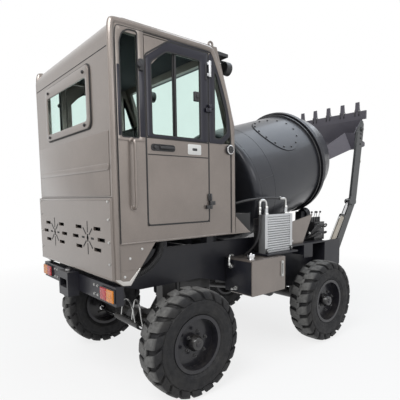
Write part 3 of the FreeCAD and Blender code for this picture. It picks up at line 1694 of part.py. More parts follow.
def make_spout(lip_x, bottom):
    """The pouring spout, an open channel that narrows from the bucket's lip to the drum's mouth."""
    plate = size("bucket_plate")
    lean_in = (size("spout_root_half_width") - "spout_top_half_width") / (size("spout_top_z") - bottom)
    tip_x = past_nose("spout_tip_x")
    ends = (
        (lip_x, bottom, size("spout_top_z") - bottom, size("spout_root_half_width")),
        (tip_x, size("spout_tip_z"), size("spout_tip_height"), size("spout_tip_half_width")),
    )
    outer = []
    inner = []
    for x, low, height, wide in ends:
        outer.append((x, trapezoid(wide, wide - height * lean_in, low, low + height)))
        inside = wide - plate * 1.1
        inner_low = inside - plate * lean_in
        inner_high = inside - (height + 30) * lean_in
        inner.append((x, trapezoid(inner_low, inner_high, low + plate, low + height + 30)))
    node("bucket_spout", cut("spout_whole", loft("spout_outer", outer), loft("spout_inner", inner)))


def trapezoid(low_half, high_half, low_z, high_z):
    return [(-low_half, low_z), (low_half, low_z), (high_half, high_z), (-high_half, high_z)]


def make_teeth(edge_x):
    """The teeth that stand on the cutting edge, each with a shank down the edge's outer face."""
    edge_face = edge_x + "bucket_edge_plate"
    top = size("bucket_edge_z")
    thick = size("tooth_thickness")
    points = [
        (edge_x - 4, top),
        (edge_face, top),
        (edge_face, top - "tooth_shank"),
        (edge_x - 4 + thick, top - "tooth_shank"),
        (edge_x - 4 + thick, top),
        (edge_x + 12, top + "tooth_height"),
        (edge_x + 4, top + "tooth_height"),
    ]
    count = SIZES["tooth_count"]
    teeth = []
    for number in range(count):
        middle = size("tooth_spacing") * (number - (count - 1) / 2)
        teeth.append(slab("tooth_%d" % number, points, middle - size("tooth_width") / 2, "tooth_width"))
    node("bucket_teeth", fuse("teeth_all", teeth))


# ---------------------------------------------------------------- build, check and export

make_wheels()
make_front_axle()
make_rear_axle()
make_knuckles()
make_steering_rod()
make_frame()
make_engine()
make_cab()
make_doors()
make_cab_fittings()
make_side_lamps()
make_panels()
make_rear_end()
make_side_equipment()
make_drum()
make_drum_drive()
make_rollers()
make_arms()
make_cylinders()
make_bucket()
document.recompute()

for item in document.Objects:
    if "Invalid" in item.State or "Error" in item.State:
        raise RuntimeError("%s could not be built" % item.Label)
for name, item in NODES.items():
    if item.Shape.isNull() or not item.Shape.isValid() or not item.Shape.Solids:
        raise RuntimeError("%s has no valid solid" % name)

os.makedirs("parts", exist_ok=True)
for name, item in NODES.items():
    item.Shape.exportStep("parts/%s.step" % name)
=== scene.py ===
# %% [markdown]
# # A self-loading concrete mixer, dressed for its portrait
#
# A self-loading mixer is a small truck that fills its own drum. The driver sits in a boxy cab at the
# back, the drum leans forward over the chassis, and a bucket on two cranked arms scoops up gravel and
# tips it into the drum's mouth. The main shapes come from a CAD model, so this lesson doesn't build
# them again. It gives every surface its finish and adds the small pieces that a CAD model leaves out:
# tyre blocks, bolts, gaskets, pipes, seams and lamps.
#
# Everything is in metres, in the CAD model's own frame. The mixer drives towards +X, its left side is
# at +Y, and it stands on the floor at z = 0.

# %% Load the CAD frame
import json
from math import asin, atan2, cos, degrees, hypot, radians, sin, tau

import bmesh
import bpy
from mathutils import Matrix, Quaternion, Vector


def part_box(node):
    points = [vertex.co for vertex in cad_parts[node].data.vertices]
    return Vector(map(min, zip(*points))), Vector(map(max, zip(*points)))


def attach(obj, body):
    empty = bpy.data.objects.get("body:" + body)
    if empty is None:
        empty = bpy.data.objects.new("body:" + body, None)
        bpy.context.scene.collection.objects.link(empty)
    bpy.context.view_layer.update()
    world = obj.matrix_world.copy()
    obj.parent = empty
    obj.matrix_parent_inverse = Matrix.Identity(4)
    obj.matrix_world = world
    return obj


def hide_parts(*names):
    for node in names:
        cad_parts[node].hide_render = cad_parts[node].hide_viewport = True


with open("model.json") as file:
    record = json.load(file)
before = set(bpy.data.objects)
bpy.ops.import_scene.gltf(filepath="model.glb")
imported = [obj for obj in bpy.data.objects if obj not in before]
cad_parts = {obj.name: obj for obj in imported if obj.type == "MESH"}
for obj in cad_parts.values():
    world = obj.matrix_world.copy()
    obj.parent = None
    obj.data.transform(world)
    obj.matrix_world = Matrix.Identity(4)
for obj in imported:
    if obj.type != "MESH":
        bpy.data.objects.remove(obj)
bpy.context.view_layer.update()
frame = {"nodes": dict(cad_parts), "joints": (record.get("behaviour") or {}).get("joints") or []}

nodes = frame["nodes"]

# %% [markdown]
# ## Where things are
#
# A dressed model only looks right if its small pieces sit exactly on the big ones, so no place is
# typed in twice. Each CAD node can tell its lowest and highest corner, and each joint knows the line
# that it turns about. The cells below ask them, and later cells build on the answers.

# %% Places read from the frame
def box(name):
    """The lowest and the highest corner of a CAD node."""
    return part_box(name)


def middle(name):
    low, high = box(name)
    return (low + high) / 2


joint_at = {joint["name"]: Vector(joint["pos_m"]) for joint in frame["joints"] if "pos_m" in joint}
joint_axis = {joint["name"]: Vector(joint["axis"]) for joint in frame["joints"]}
SIDES = (("right", -1), ("left", 1))
LEFT = Vector((0, 1, 0))
cab_low, cab_high = box("cab_shell")
drum_axis = joint_axis["drum_turn"].normalized()
drum_centre = joint_at["drum_turn"]
drum_tilt = asin(drum_axis.z)
print("drum leans", round(degrees(drum_tilt), 1), "degrees about", [round(v, 3) for v in drum_centre])

# %% [markdown]
# ## Small tools for making pieces
#
# Each tool below gives back a fresh bmesh, which is Blender's editable mesh. A piece is then a list of
# such shapes, joined. That reads like a parts list: a block, two bars, six bolts. The shapes come from
# Blender's own operators (create, extrude, bevel, spin), so their faces are always sound.

# %% Join shapes and turn them into a piece
def joined(shapes):
    """Several bmeshes as one."""
    whole = bmesh.new()
    for shape in shapes:
        carrier = bpy.data.meshes.new("carrier")
        shape.to_mesh(carrier)
        shape.free()
        whole.from_mesh(carrier)
        bpy.data.meshes.remove(carrier)
    return whole


def placed(shape, place):
    """The same bmesh, moved by a matrix."""
    bmesh.ops.transform(shape, matrix=place, verts=shape.verts)
    return shape


piece_count = {}


def piece(name, shape, material, body="chassis", slot=None, stands_for=(), crease=32):
    """Turns a bmesh into an object that rides on a CAD body and shades smoothly up to a crease.

    The slot argument is not used.
    """
    mesh = bpy.data.meshes.new(name)
    shape.to_mesh(mesh)
    shape.free()
    mesh.shade_smooth()
    mesh.set_sharp_from_angle(angle=radians(crease))
    mesh.materials.append(material)
    made = bpy.data.objects.new(name, mesh)
    bpy.context.collection.objects.link(made)
    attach(made, body)
    if stands_for:
        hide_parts(*stands_for)
    piece_count[name] = sum(len(face.vertices) - 2 for face in mesh.polygons)
    return made


# %% Blocks, bars and turned shapes
def block(low, high, rounding=0.0, segments=2):
    """A box between two corners, its edges rounded."""
    low, high = Vector(low), Vector(high)
    shape = bmesh.new()
    place = Matrix.LocRotScale((low + high) / 2, None, high - low)
    bmesh.ops.create_cube(shape, size=1.0, matrix=place)
    if rounding:
        bmesh.ops.bevel(shape, geom=shape.edges[:], offset=rounding, offset_type="OFFSET",
                        affect="EDGES", segments=segments, profile=0.5, material=-1)
    return shape


def along(direction):
    """The rotation that turns +Z to a direction."""
    return Vector(direction).to_track_quat("Z", "Y").to_matrix().to_4x4()


def bar(start, end, radius, steps=20, rounding=0.0):
    """A round bar from one point to another."""
    start, end = Vector(start), Vector(end)
    shape = bmesh.new()
    place = Matrix.Translation((start + end) / 2) @ along(end - start)
    bmesh.ops.create_cone(shape, cap_ends=True, segments=steps, radius1=radius, radius2=radius,
                          depth=(end - start).length, matrix=place)
    if rounding:
        rims = [edge for edge in shape.edges if any(len(face.verts) == steps for face in edge.link_faces)]
        bmesh.ops.bevel(shape, geom=rims, offset=rounding, offset_type="OFFSET",
                        affect="EDGES", segments=2, profile=0.5, material=-1)
    return shape


def turned(profile, centre, axis, steps=48):
    """A shape turned on a lathe: profile is (along the axis, radius) from one end to the other."""
    shape = bmesh.new()
    points = [shape.verts.new((radius, 0.0, reach)) for reach, radius in profile]
    edges = [shape.edges.new(pair) for pair in zip(points, points[1:])]
    bmesh.ops.spin(shape, geom=points + edges, cent=(0, 0, 0), axis=(0, 0, 1), angle=tau,
                   steps=steps, use_merge=True, use_duplicate=False)
    bmesh.ops.remove_doubles(shape, verts=shape.verts, dist=1e-6)
    bmesh.ops.recalc_face_normals(shape, faces=shape.faces)
    return placed(shape, Matrix.Translation(Vector(centre)) @ along(axis))


# %% Flat shapes, plates and borders
def flat(corners, rounding=0.0):
    """One flat face through the corners, its corners rounded."""
    shape = bmesh.new()
    points = [shape.verts.new(corner) for corner in corners]
    shape.faces.new(points)
    if rounding:
        bmesh.ops.bevel(shape, geom=points, offset=rounding, offset_type="OFFSET",
                        affect="VERTICES", segments=5, profile=0.5, material=-1)
    return shape


def thickened(shape, depth, edge=0.0):
    """A flat shape pulled along a vector into a plate, with its sharp edges rounded."""
    pulled = bmesh.ops.extrude_face_region(shape, geom=shape.faces[:], use_keep_orig=True)
    top = [item for item in pulled["geom"] if isinstance(item, bmesh.types.BMVert)]
    bmesh.ops.translate(shape, verts=top, vec=Vector(depth))
    bmesh.ops.recalc_face_normals(shape, faces=shape.faces)
    if edge:
        sharp = [e for e in shape.edges if len(e.link_faces) == 2 and e.calc_face_angle(0) > radians(50)]
        bmesh.ops.bevel(shape, geom=sharp, offset=edge, offset_type="OFFSET", affect="EDGES",
                        segments=2, profile=0.5, material=-1, clamp_overlap=True)
    return shape


def plate(corners, depth, rounding=0.0, edge=0.0):
    return thickened(flat(corners, rounding), depth, edge)


def border(corners, width, depth, rounding=0.0, edge=0.0):
    """A flat rim of even width inside the corners, such as a gasket or a window frame."""
    shape = flat(corners, rounding)
    hole = bmesh.ops.inset_region(shape, faces=shape.faces[:], use_boundary=True, thickness=width,
                                  use_even_offset=True)
    rim = set(hole["faces"])
    inner = [face for face in shape.faces if face not in rim]
    bmesh.ops.delete(shape, geom=inner, context="FACES_ONLY")
    loose = [vert for vert in shape.verts if not vert.link_faces]
    bmesh.ops.delete(shape, geom=loose, context="VERTS")
    return thickened(shape, depth, edge)


def side_points(y, *points):
    """Points given as (x, z) on a plane across the machine."""
    return [(x, y, z) for x, z in points]


def rectangle_xz(y, x0, x1, z0, z1):
    return side_points(y, (x0, z0), (x1, z0), (x1, z1), (x0, z1))


def rectangle_yz(x, y0, y1, z0, z1):
    return [(x, y0, z0), (x, y1, z0), (x, y1, z1), (x, y0, z1)]


# %% Bolts and pipes
def bolt(foot, direction, size=0.008):
    """A hexagon bolt head on a washer, standing at a foot on a surface."""
    foot, direction = Vector(foot), Vector(direction).normalized()
    washer = bar(foot, foot + direction * size * 0.22, size * 1.1, steps=14)
    head = bar(foot + direction * size * 0.2, foot + direction * size * 0.85, size * 0.92, steps=6,
               rounding=size * 0.12)
    return joined([washer, head])


def bolts(feet, direction, size=0.008):
    return joined([bolt(foot, direction, size) for foot in feet])


def smooth_curve(name, points, resolution, radius=0.0):
    """The mesh of a NURBS curve near the points: a bare line, or a capped tube if it has a radius."""
    curve = bpy.data.curves.new(name, "CURVE")
    curve.dimensions = "3D"
    curve.bevel_depth = radius
    curve.bevel_resolution = 3
    curve.resolution_u = resolution
    curve.use_fill_caps = True
    route = curve.splines.new("NURBS")
    route.points.add(len(points) - 1)
    for point, place in zip(route.points, points):
        point.co = (*place, 1.0)
    route.order_u = 3
    route.use_endpoint_u = True
    line = bpy.data.objects.new(name, curve)
    mesh = bpy.data.meshes.new_from_object(line)
    bpy.data.objects.remove(line)
    return mesh


def pipe(name, points, radius, material, body="chassis"):
    """A bent pipe: a smooth curve along its route, with a round section."""
    mesh = smooth_curve(name, points, 6, radius)
    shape = bmesh.new()
    shape.from_mesh(mesh)
    bpy.data.meshes.remove(mesh)
    bmesh.ops.remove_doubles(shape, verts=shape.verts, dist=1e-6)
    return piece(name, shape, material, body)


# %% [markdown]
# ## Shared surface effects
#
# Paint, rubber and bare steel look different, yet the same things happen to all of them: edges are
# never quite sharp, dust settles where it can lie, and no sheet is perfectly even. Each effect is a
# shader node group, which is a small network with its own inputs and outputs that many materials
# share. They read Object coordinates, so the pattern stays on the piece when it moves.

# %% A node group builder
def group(name, inputs, outputs):
    """An empty shader node group with its sockets; inputs and outputs are (name, kind, default)."""
    tree = bpy.data.node_groups.new(name, "ShaderNodeTree")
    for label, kind, default in inputs:
        made = tree.interface.new_socket(label, in_out="INPUT", socket_type="NodeSocket" + kind)
        if default is not None:
            made.default_value = default
    for label, kind in outputs:
        tree.interface.new_socket(label, in_out="OUTPUT", socket_type="NodeSocket" + kind)
    return tree, tree.nodes.new("NodeGroupInput"), tree.nodes.new("NodeGroupOutput")


def noise(tree, coordinates, scale, detail=3.0, roughness=0.55):
    """A noise texture on given coordinates."""
    made = tree.nodes.new("ShaderNodeTexNoise")
    made.inputs["Scale"].default_value = scale
    made.inputs["Detail"].default_value = detail
    made.inputs["Roughness"].default_value = roughness
    tree.links.new(coordinates, made.inputs["Vector"])
    return made


def spread(tree, value, low, high, to_low=0.0, to_high=1.0):
    """Maps a value from one range to another, clamped."""
    made = tree.nodes.new("ShaderNodeMapRange")
    for label, number in zip(("From Min", "From Max", "To Min", "To Max"), (low, high, to_low, to_high)):
        made.inputs[label].default_value = number
    tree.links.new(value, made.inputs["Value"])
    return made.outputs["Result"]


def times(tree, first, second, operation="MULTIPLY"):
    """One value multiplied by (or otherwise joined with) another; numbers and sockets both work."""
    made = tree.nodes.new("ShaderNodeMath")
    made.operation = operation
    made.use_clamp = True
    for socket, value in zip(made.inputs, (first, second)):
        if isinstance(value, bpy.types.NodeSocket):
            tree.links.new(value, socket)
        else:
            socket.default_value = value
    return made.outputs[0]


def blended(tree, factor, first, second):
    """A colour between two others."""
    made = tree.nodes.new("ShaderNodeMix")
    made.data_type = "RGBA"
    tree.links.new(factor, made.inputs["Factor"])
    for socket, value in zip(made.inputs[6:8], (first, second)):
        if isinstance(value, bpy.types.NodeSocket):
            tree.links.new(value, socket)
        else:
            socket.default_value = (*value, 1.0)
    return made.outputs[2]


# %% [markdown]
# ### Edges, dust and waves
#
# A folded or cut edge catches light because it is slightly round, and paint wears there first. The
# Bevel node finds edges by looking at nearby surfaces, so it works on any mesh. Where its rounded
# normal and the true normal disagree, there is an edge, and that difference is the wear mask. Dust is
# a mask too: it is strong on faces that look up, near the ground, and where the noise is high.

# %% Edge wear and dust groups
def edge_group():
    tree, given, result = group(
        "Edge wear", [("Width", "Float", 0.004), ("Grain", "Float", 60.0)],
        [("Normal", "Vector"), ("Wear", "Float")])
    rounded = tree.nodes.new("ShaderNodeBevel")
    rounded.samples = 4
    tree.links.new(given.outputs["Width"], rounded.inputs["Radius"])
    true_normal = tree.nodes.new("ShaderNodeNewGeometry").outputs["Normal"]
    agree = tree.nodes.new("ShaderNodeVectorMath")
    agree.operation = "DOT_PRODUCT"
    tree.links.new(rounded.outputs[0], agree.inputs[0])
    tree.links.new(true_normal, agree.inputs[1])
    edge = spread(tree, agree.outputs["Value"], 0.985, 0.80)
    place = tree.nodes.new("ShaderNodeTexCoord").outputs["Object"]
    grain = noise(tree, place, 60.0, detail=4.0)
    tree.links.new(given.outputs["Grain"], grain.inputs["Scale"])
    chipped = spread(tree, grain.outputs["Fac"], 0.50, 0.66)
    tree.links.new(times(tree, edge, chipped), result.inputs["Wear"])
    tree.links.new(rounded.outputs[0], result.inputs["Normal"])
    return tree


def dust_group():
    tree, given, result = group(
        "Dust", [("Amount", "Float", 0.3), ("Height", "Float", 0.9)],
        [("Mask", "Float")])
    place = tree.nodes.new("ShaderNodeTexCoord").outputs["Object"]
    patches = spread(tree, noise(tree, place, 7.0, detail=5.0, roughness=0.65).outputs["Fac"], 0.36, 0.66)
    specks = spread(tree, noise(tree, place, 90.0, detail=2.0).outputs["Fac"], 0.40, 0.70, 0.55, 1.0)
    facing = tree.nodes.new("ShaderNodeSeparateXYZ")
    tree.links.new(tree.nodes.new("ShaderNodeNewGeometry").outputs["Normal"], facing.inputs[0])
    upward = spread(tree, facing.outputs["Z"], -0.2, 1.0, 0.25, 1.0)
    height = tree.nodes.new("ShaderNodeSeparateXYZ")
    tree.links.new(place, height.inputs[0])
    lowness = tree.nodes.new("ShaderNodeMapRange")
    lowness.inputs["From Min"].default_value = 0.0
    lowness.inputs["To Min"].default_value = 1.0
    lowness.inputs["To Max"].default_value = 0.15
    tree.links.new(height.outputs["Z"], lowness.inputs["Value"])
    tree.links.new(given.outputs["Height"], lowness.inputs["From Max"])
    mask = times(tree, times(tree, patches, specks), times(tree, upward, lowness.outputs["Result"]))
    tree.links.new(times(tree, mask, given.outputs["Amount"]), result.inputs["Mask"])
    return tree


def wave_group():
    tree, given, result = group(
        "Sheet waves", [("Waves", "Float", 0.3), ("Peel", "Float", 0.2), ("Normal", "Vector", None)],
        [("Normal", "Vector"), ("Patch", "Float")])
    place = tree.nodes.new("ShaderNodeTexCoord").outputs["Object"]
    broad = noise(tree, place, 2.2, detail=1.0)
    fine = noise(tree, place, 420.0, detail=1.0)
    wave = tree.nodes.new("ShaderNodeBump")
    wave.inputs["Distance"].default_value = 0.02
    tree.links.new(given.outputs["Waves"], wave.inputs["Strength"])
    tree.links.new(broad.outputs["Fac"], wave.inputs["Height"])
    tree.links.new(given.outputs["Normal"], wave.inputs["Normal"])
    peel = tree.nodes.new("ShaderNodeBump")
    peel.inputs["Distance"].default_value = 0.0004
    tree.links.new(given.outputs["Peel"], peel.inputs["Strength"])
    tree.links.new(fine.outputs["Fac"], peel.inputs["Height"])
    tree.links.new(wave.outputs["Normal"], peel.inputs["Normal"])
    tree.links.new(peel.outputs["Normal"], result.inputs["Normal"])
    tree.links.new(noise(tree, place, 3.1, detail=4.0).outputs["Fac"], result.inputs["Patch"])
    return tree


EDGE = edge_group()
DUST = dust_group()
WAVE = wave_group()


# %% One finish from these effects
def use(tree, what, **numbers):
    """A group node inside a material, its inputs set by name."""
    made = tree.nodes.new("ShaderNodeGroup")
    made.node_tree = what
    for label, value in numbers.items():
        made.inputs[label.replace("_", " ").capitalize()].default_value = value
    return made


DUST_COLOUR = (0.30, 0.27, 0.23)
UNEVEN = 0.10


def new_material(name):
    """A material with its node tree and its shader."""
    material = bpy.data.materials.new(name)
    material.use_nodes = True
    return material, material.node_tree, material.node_tree.nodes["Principled BSDF"]


def finish(name, colour, metallic=0.0, roughness=0.5, coat=0.0, coat_roughness=0.1, worn=None,
           wear=0.0, dust=0.2, dust_height=1.1, waves=0.0, peel=0.3, flakes=0.0, edge=0.003, ior=1.5):
    """A painted, moulded or bare surface with rounded edges, wear, dust and slight unevenness."""
    material, tree, shader = new_material(name)
    shader.inputs["Metallic"].default_value = metallic
    shader.inputs["IOR"].default_value = ior
    shader.inputs["Coat Weight"].default_value = coat
    shader.inputs["Coat Roughness"].default_value = coat_roughness
    edges = use(tree, EDGE, width=edge)
    sheet = use(tree, WAVE, waves=waves, peel=peel)
    tree.links.new(edges.outputs["Normal"], sheet.inputs["Normal"])
    shade = spread(tree, sheet.outputs["Patch"], 0.30, 0.70)
    darker = tuple(channel * (1 - UNEVEN) for channel in colour)
    lighter = tuple(min(1.0, channel * (1 + UNEVEN)) for channel in colour)
    body = blended(tree, shade, darker, lighter)
    if flakes:
        place = tree.nodes.new("ShaderNodeTexCoord").outputs["Object"]
        cells = tree.nodes.new("ShaderNodeTexVoronoi")
        cells.inputs["Scale"].default_value = 900.0
        tree.links.new(place, cells.inputs["Vector"])
        glint = spread(tree, cells.outputs["Color"], 0.72, 1.0, 0.0, flakes)
        body = blended(tree, glint, body, tuple(min(1.0, channel * 2.2) for channel in colour))
    if wear:
        body = blended(tree, times(tree, edges.outputs["Wear"], wear), body, worn or lighter)
    dusty = use(tree, DUST, amount=dust, height=dust_height)
    body = blended(tree, dusty.outputs["Mask"], body, DUST_COLOUR)
    tree.links.new(body, shader.inputs["Base Color"])
    rough = spread(tree, sheet.outputs["Patch"], 0.25, 0.75, max(0.03, roughness * (1 - UNEVEN)),
                   min(1.0, roughness * (1 + UNEVEN)))
    rough = times(tree, rough, times(tree, dusty.outputs["Mask"], 0.5), "ADD")
    tree.links.new(rough, shader.inputs["Roughness"])
    tree.links.new(sheet.outputs["Normal"], shader.inputs["Normal"])
    return material


# %% [markdown]
# ### The mixer's finishes
#
# The cab wears a bronze-grey metallic lacquer: metal flakes in a tinted base under a clear coat, so it
# is half Metallic, fairly smooth, and has a sharp Coat on top. The drum wears a dark blue-grey with a
# few flakes. Frame and axles have a plain satin enamel, which isn't metallic at all, while arms and
# bucket have a little metal in it. Colours are written as linear light, which is why they look smaller
# than the colour picker's screen values.

# %% Paints
CAB_PAINT = finish("cab_bronze_lacquer", (0.205, 0.176, 0.157), metallic=0.50, roughness=0.30,
                   coat=0.5, coat_roughness=0.06, waves=0.10, peel=0.25, dust=0.10, flakes=0.5, edge=0.004)
DRUM_PAINT = finish("drum_silver_lacquer", (0.027, 0.029, 0.036), metallic=0.15,
                    roughness=0.34, coat=0.20, coat_roughness=0.10, waves=0.12, peel=0.3,
                    dust=0.14, dust_height=2.8, flakes=0.5, edge=0.004, ior=1.39)
CHASSIS_PAINT = finish("chassis_enamel", (0.009, 0.0095, 0.015), roughness=0.40, coat=0.1,
                       ior=1.40, waves=0.10, dust=0.22, dust_height=1.4, worn=(0.10, 0.10, 0.11), wear=0.35)
AXLE_PAINT = finish("axle_enamel", (0.014, 0.014, 0.016), roughness=0.42,
                    coat=0.2, dust=0.7, dust_height=1.0, worn=(0.12, 0.11, 0.10), wear=0.4)
ARM_PAINT = finish("arm_enamel", (0.038, 0.041, 0.043), metallic=0.20, roughness=0.38,
                   coat=0.25, waves=0.05, dust=0.2, dust_height=2.8, worn=(0.2, 0.2, 0.2), wear=0.35)
BUCKET_PAINT = finish("bucket_enamel", (0.070, 0.066, 0.082), metallic=0.35, roughness=0.40,
                      coat=0.2, waves=0.15, dust=0.25, dust_height=2.8, worn=(0.24, 0.23, 0.22), wear=0.5)
RIM_PAINT = finish("rim_gloss_enamel", (0.009, 0.009, 0.014), metallic=0.1, roughness=0.28,
                   coat=0.25, ior=1.42, coat_roughness=0.08, dust=0.35, dust_height=0.9)
CREAM_PAINT = finish("cylinder_cream_paint", (0.36, 0.325, 0.27),
                     roughness=0.34, coat=0.3, dust=0.3, dust_height=2.0)
BLACK_PAINT = finish("black_gloss_paint", (0.011, 0.011, 0.013),
                     roughness=0.30, coat=0.25, dust=0.2, dust_height=2.0)
CASTING = finish("engine_casting", (0.06, 0.065, 0.07), metallic=0.3,
                 roughness=0.55, peel=1.0, dust=0.5)

# %% Bare metals, plastics and rubber
STEEL = finish("zinc_plated_steel", (0.55, 0.55, 0.54), metallic=1.0,
               roughness=0.30, dust=0.15, edge=0.001)
CHROME = finish("hard_chrome", (0.62, 0.62, 0.63), metallic=1.0,
                roughness=0.10, dust=0.05, edge=0.001)
RING_STEEL = finish("rolled_ring_steel", (0.022, 0.023, 0.029), metallic=0.4,
                    roughness=0.38, dust=0.15, dust_height=2.8, worn=(0.35, 0.34, 0.33), wear=0.5)
ALUMINIUM = finish("bare_aluminium", (0.52, 0.53, 0.54), metallic=0.85,
                   roughness=0.42, peel=0.8, dust=0.15, edge=0.0015)
BLACK_PLASTIC = finish("black_moulding", (0.016, 0.016, 0.018),
                       roughness=0.48, peel=0.9, dust=0.15, dust_height=2.6)
GASKET = finish("gasket_rubber", (0.009, 0.009, 0.010), roughness=0.62,
                peel=0.5, dust=0.2, edge=0.001)
# Nearly black: partly the board's own colour, partly painted shade under the cab roof.
HEADLINER_AND_SHADE = finish("headliner_and_painted_shade", (0.030, 0.034, 0.040), roughness=0.8,
                   peel=1.0, dust=0.05)
LABEL = finish("blank_label_film", (0.62, 0.62, 0.60), roughness=0.35,
               coat=0.3, dust=0.05, edge=0.0005)
PIPE_RUBBER = finish("hydraulic_line_rubber", (0.013, 0.013, 0.015),
                     roughness=0.45, peel=0.8, dust=0.25, dust_height=2.0)
print("finishes:", len(bpy.data.materials))

# %% [markdown]
# ### Glass and lamps
#
# The panes have a cool green tint. Plain Transmission Weight on the shader lets light through, a low
# Roughness keeps it clear, and only a faint noise in the roughness stands for wiped dust. Lamp lenses
# are tinted, thicker and ribbed inside.

# %% Glass
def clear_material(name, colour, roughness, ior=1.45, ribs=0.0, clear=1.0):
    """A tinted see-through material, ribbed inside if it is a lamp lens."""
    material, tree, shader = new_material(name)
    shader.inputs["Transmission Weight"].default_value = clear
    shader.inputs["IOR"].default_value = ior
    place = tree.nodes.new("ShaderNodeTexCoord").outputs["Object"]
    film = noise(tree, place, 5.0, detail=5.0)
    tint = blended(tree, spread(tree, film.outputs["Fac"], 0.3, 0.7), colour,
                   tuple(min(1.0, channel * 1.03) for channel in colour))
    tree.links.new(tint, shader.inputs["Base Color"])
    tree.links.new(spread(tree, film.outputs["Fac"], 0.4, 0.8, roughness, roughness + 0.04),
                   shader.inputs["Roughness"])
    if ribs:
        lines = tree.nodes.new("ShaderNodeTexWave")
        lines.bands_direction = "Y"
        lines.inputs["Scale"].default_value = 300.0
        tree.links.new(place, lines.inputs["Vector"])
        bump = tree.nodes.new("ShaderNodeBump")
        bump.inputs["Strength"].default_value = ribs
        bump.inputs["Distance"].default_value = 0.002
        tree.links.new(lines.outputs["Fac"], bump.inputs["Height"])
        tree.links.new(bump.outputs["Normal"], shader.inputs["Normal"])
    return material


GLASS = clear_material("tinted_cab_glass", (0.80, 0.90, 0.87), 0.0, ior=1.02)
RED_LENS = clear_material("red_lamp_lens", (0.60, 0.03, 0.04), 0.08, ribs=0.5, clear=0.3)
AMBER_LENS = clear_material("amber_lamp_lens", (0.95, 0.30, 0.02), 0.08, ribs=0.5, clear=0.3)
CLEAR_LENS = clear_material("clear_lamp_lens", (0.92, 0.93, 0.93), 0.03, ribs=0.4)

# %% [markdown]
# ## Finishes for the CAD pieces
#
# Most CAD pieces have the right shape already: the cab shell, the frame, the drum, the arms. They stay
# as they are and only swap their plain material for one of the finishes above. A dictionary from
# finish to names keeps this in one place and makes a missing node easy to see.

# %% Give every CAD node its finish
wears = {
    CAB_PAINT: ("cab_shell", "cab_side_left", "cab_side_right", "cab_roof", "cab_floor", "cab_skirts",
                "rear_cover", "front_panel", "door_left", "door_right", "tank_right", "tank_left",
                "grab_handles"),
    CHASSIS_PAINT: ("chassis_frame", "roller_stand", "rear_bumper", "tow_hitch", "side_shelves"),
    AXLE_PAINT: ("front_axle", "rear_axle", "knuckle_left", "knuckle_right"),
    DRUM_PAINT: ("drum_shell", "drum_mouth", "drum_hatch"),
    RING_STEEL: ("drum_ring", "roller_left", "roller_right"),
    ARM_PAINT: ("loader_arms",),
    BUCKET_PAINT: ("bucket_shell", "bucket_spout", "bucket_teeth"),
    CREAM_PAINT: ("lift_barrels", "tilt_barrels"),
    CHROME: ("lift_rods", "tilt_rods", "steering_rod"),
    CASTING: ("engine_block", "drum_gearbox"),
    BLACK_PAINT: ("valve_block",),
    BLACK_PLASTIC: ("steering_console", "sun_visor", "work_lamps", "side_lamps", "driver_seat"),
    GLASS: ("cab_glass", "door_glass_left", "door_glass_right"),
    RED_LENS: ("tail_lamps",),
    ALUMINIUM: ("oil_cooler",),
    RIM_PAINT: tuple(name for name in nodes if name.startswith("rim_")),
}
for finish_made, names in wears.items():
    for name in names:
        for material_slot in nodes[name].material_slots:
            material_slot.material = finish_made
dressed = {name for names in wears.values() for name in names}
print("still plain:", sorted(set(nodes) - dressed))

# %% [markdown]
# ## Tyres
#
# An industrial tyre has a smooth carcass with a crown that is almost flat, tight shoulders and two
# rows of tall rubber blocks. The blocks start on the shoulder, lean over the crown and end just past
# its middle, where the two rows mesh like teeth. They could be cut out of a thick ring, but it is far
# easier to model one block lying flat, bend it onto the crown with a formula and repeat it round the
# wheel. The bending formula takes a place across the tread, a place along it and a depth below the
# block's top.

# %% Measure the wheel
tyre_low, tyre_high = box("tyre_rear_right")
TYRE_RADIUS = (tyre_high.z - tyre_low.z) / 2
TYRE_WIDTH = tyre_high.y - tyre_low.y
RIM_RADIUS = (box("rim_rear_right")[1].z - box("rim_rear_right")[0].z) / 2
BLOCKS = 21
BLOCK_DEPTH = 0.024
print("tyre", round(TYRE_RADIUS, 4), "x", round(TYRE_WIDTH, 4), "rim radius", round(RIM_RADIUS, 4))

# %% The tread's outline, from its middle to the side wall
half_width = TYRE_WIDTH / 2
TREAD_LINE = [(0.0, TYRE_RADIUS), (0.5 * half_width, TYRE_RADIUS - 0.0015),
              (0.80 * half_width, TYRE_RADIUS - 0.008), (0.92 * half_width, TYRE_RADIUS - 0.021),
              (0.985 * half_width, TYRE_RADIUS - 0.042), (0.985 * half_width, TYRE_RADIUS - 0.075)]


def tread_point(across, deep):
    """The place (sideways, radius) at a distance across the tread's outline and a depth under it."""
    sign = -1 if across < 0 else 1
    left = abs(across)
    for (y0, r0), (y1, r1) in zip(TREAD_LINE, TREAD_LINE[1:]):
        step = hypot(y1 - y0, r1 - r0)
        if left <= step or (y1, r1) == TREAD_LINE[-1]:
            share = left / step
            inward = Vector((-(r0 - r1), -(y1 - y0))) / step
            return (sign * (y0 + share * (y1 - y0) + deep * inward.x),
                    r0 + share * (r1 - r0) + deep * inward.y)
        left -= step


TREAD_REACH = sum(hypot(b[0] - a[0], b[1] - a[1]) for a, b in zip(TREAD_LINE, TREAD_LINE[1:]))

# %% [markdown]
# ### One block
#
# The block starts as a flat grid: nine cells from the middle of the tread to the shoulder, two cells
# along it. Moving the rows of the grid sideways gives the block its kinked, leaning outline. The grid
# is then extruded down to the carcass, its top edge is bevelled, and every vertex is bent onto the
# tyre. The block's foot is a little wider than its top, as the mould needs it to be.

# %% Make one block and bend it onto the tread
pitch = tau * TYRE_RADIUS / BLOCKS


def lean_at(share):
    """How far round the tread a block has leant, from the middle (0) to the shoulder (1)."""
    return pitch * (0.62 * share ** 1.25 + 0.055 * sin(share * tau * 1.1))


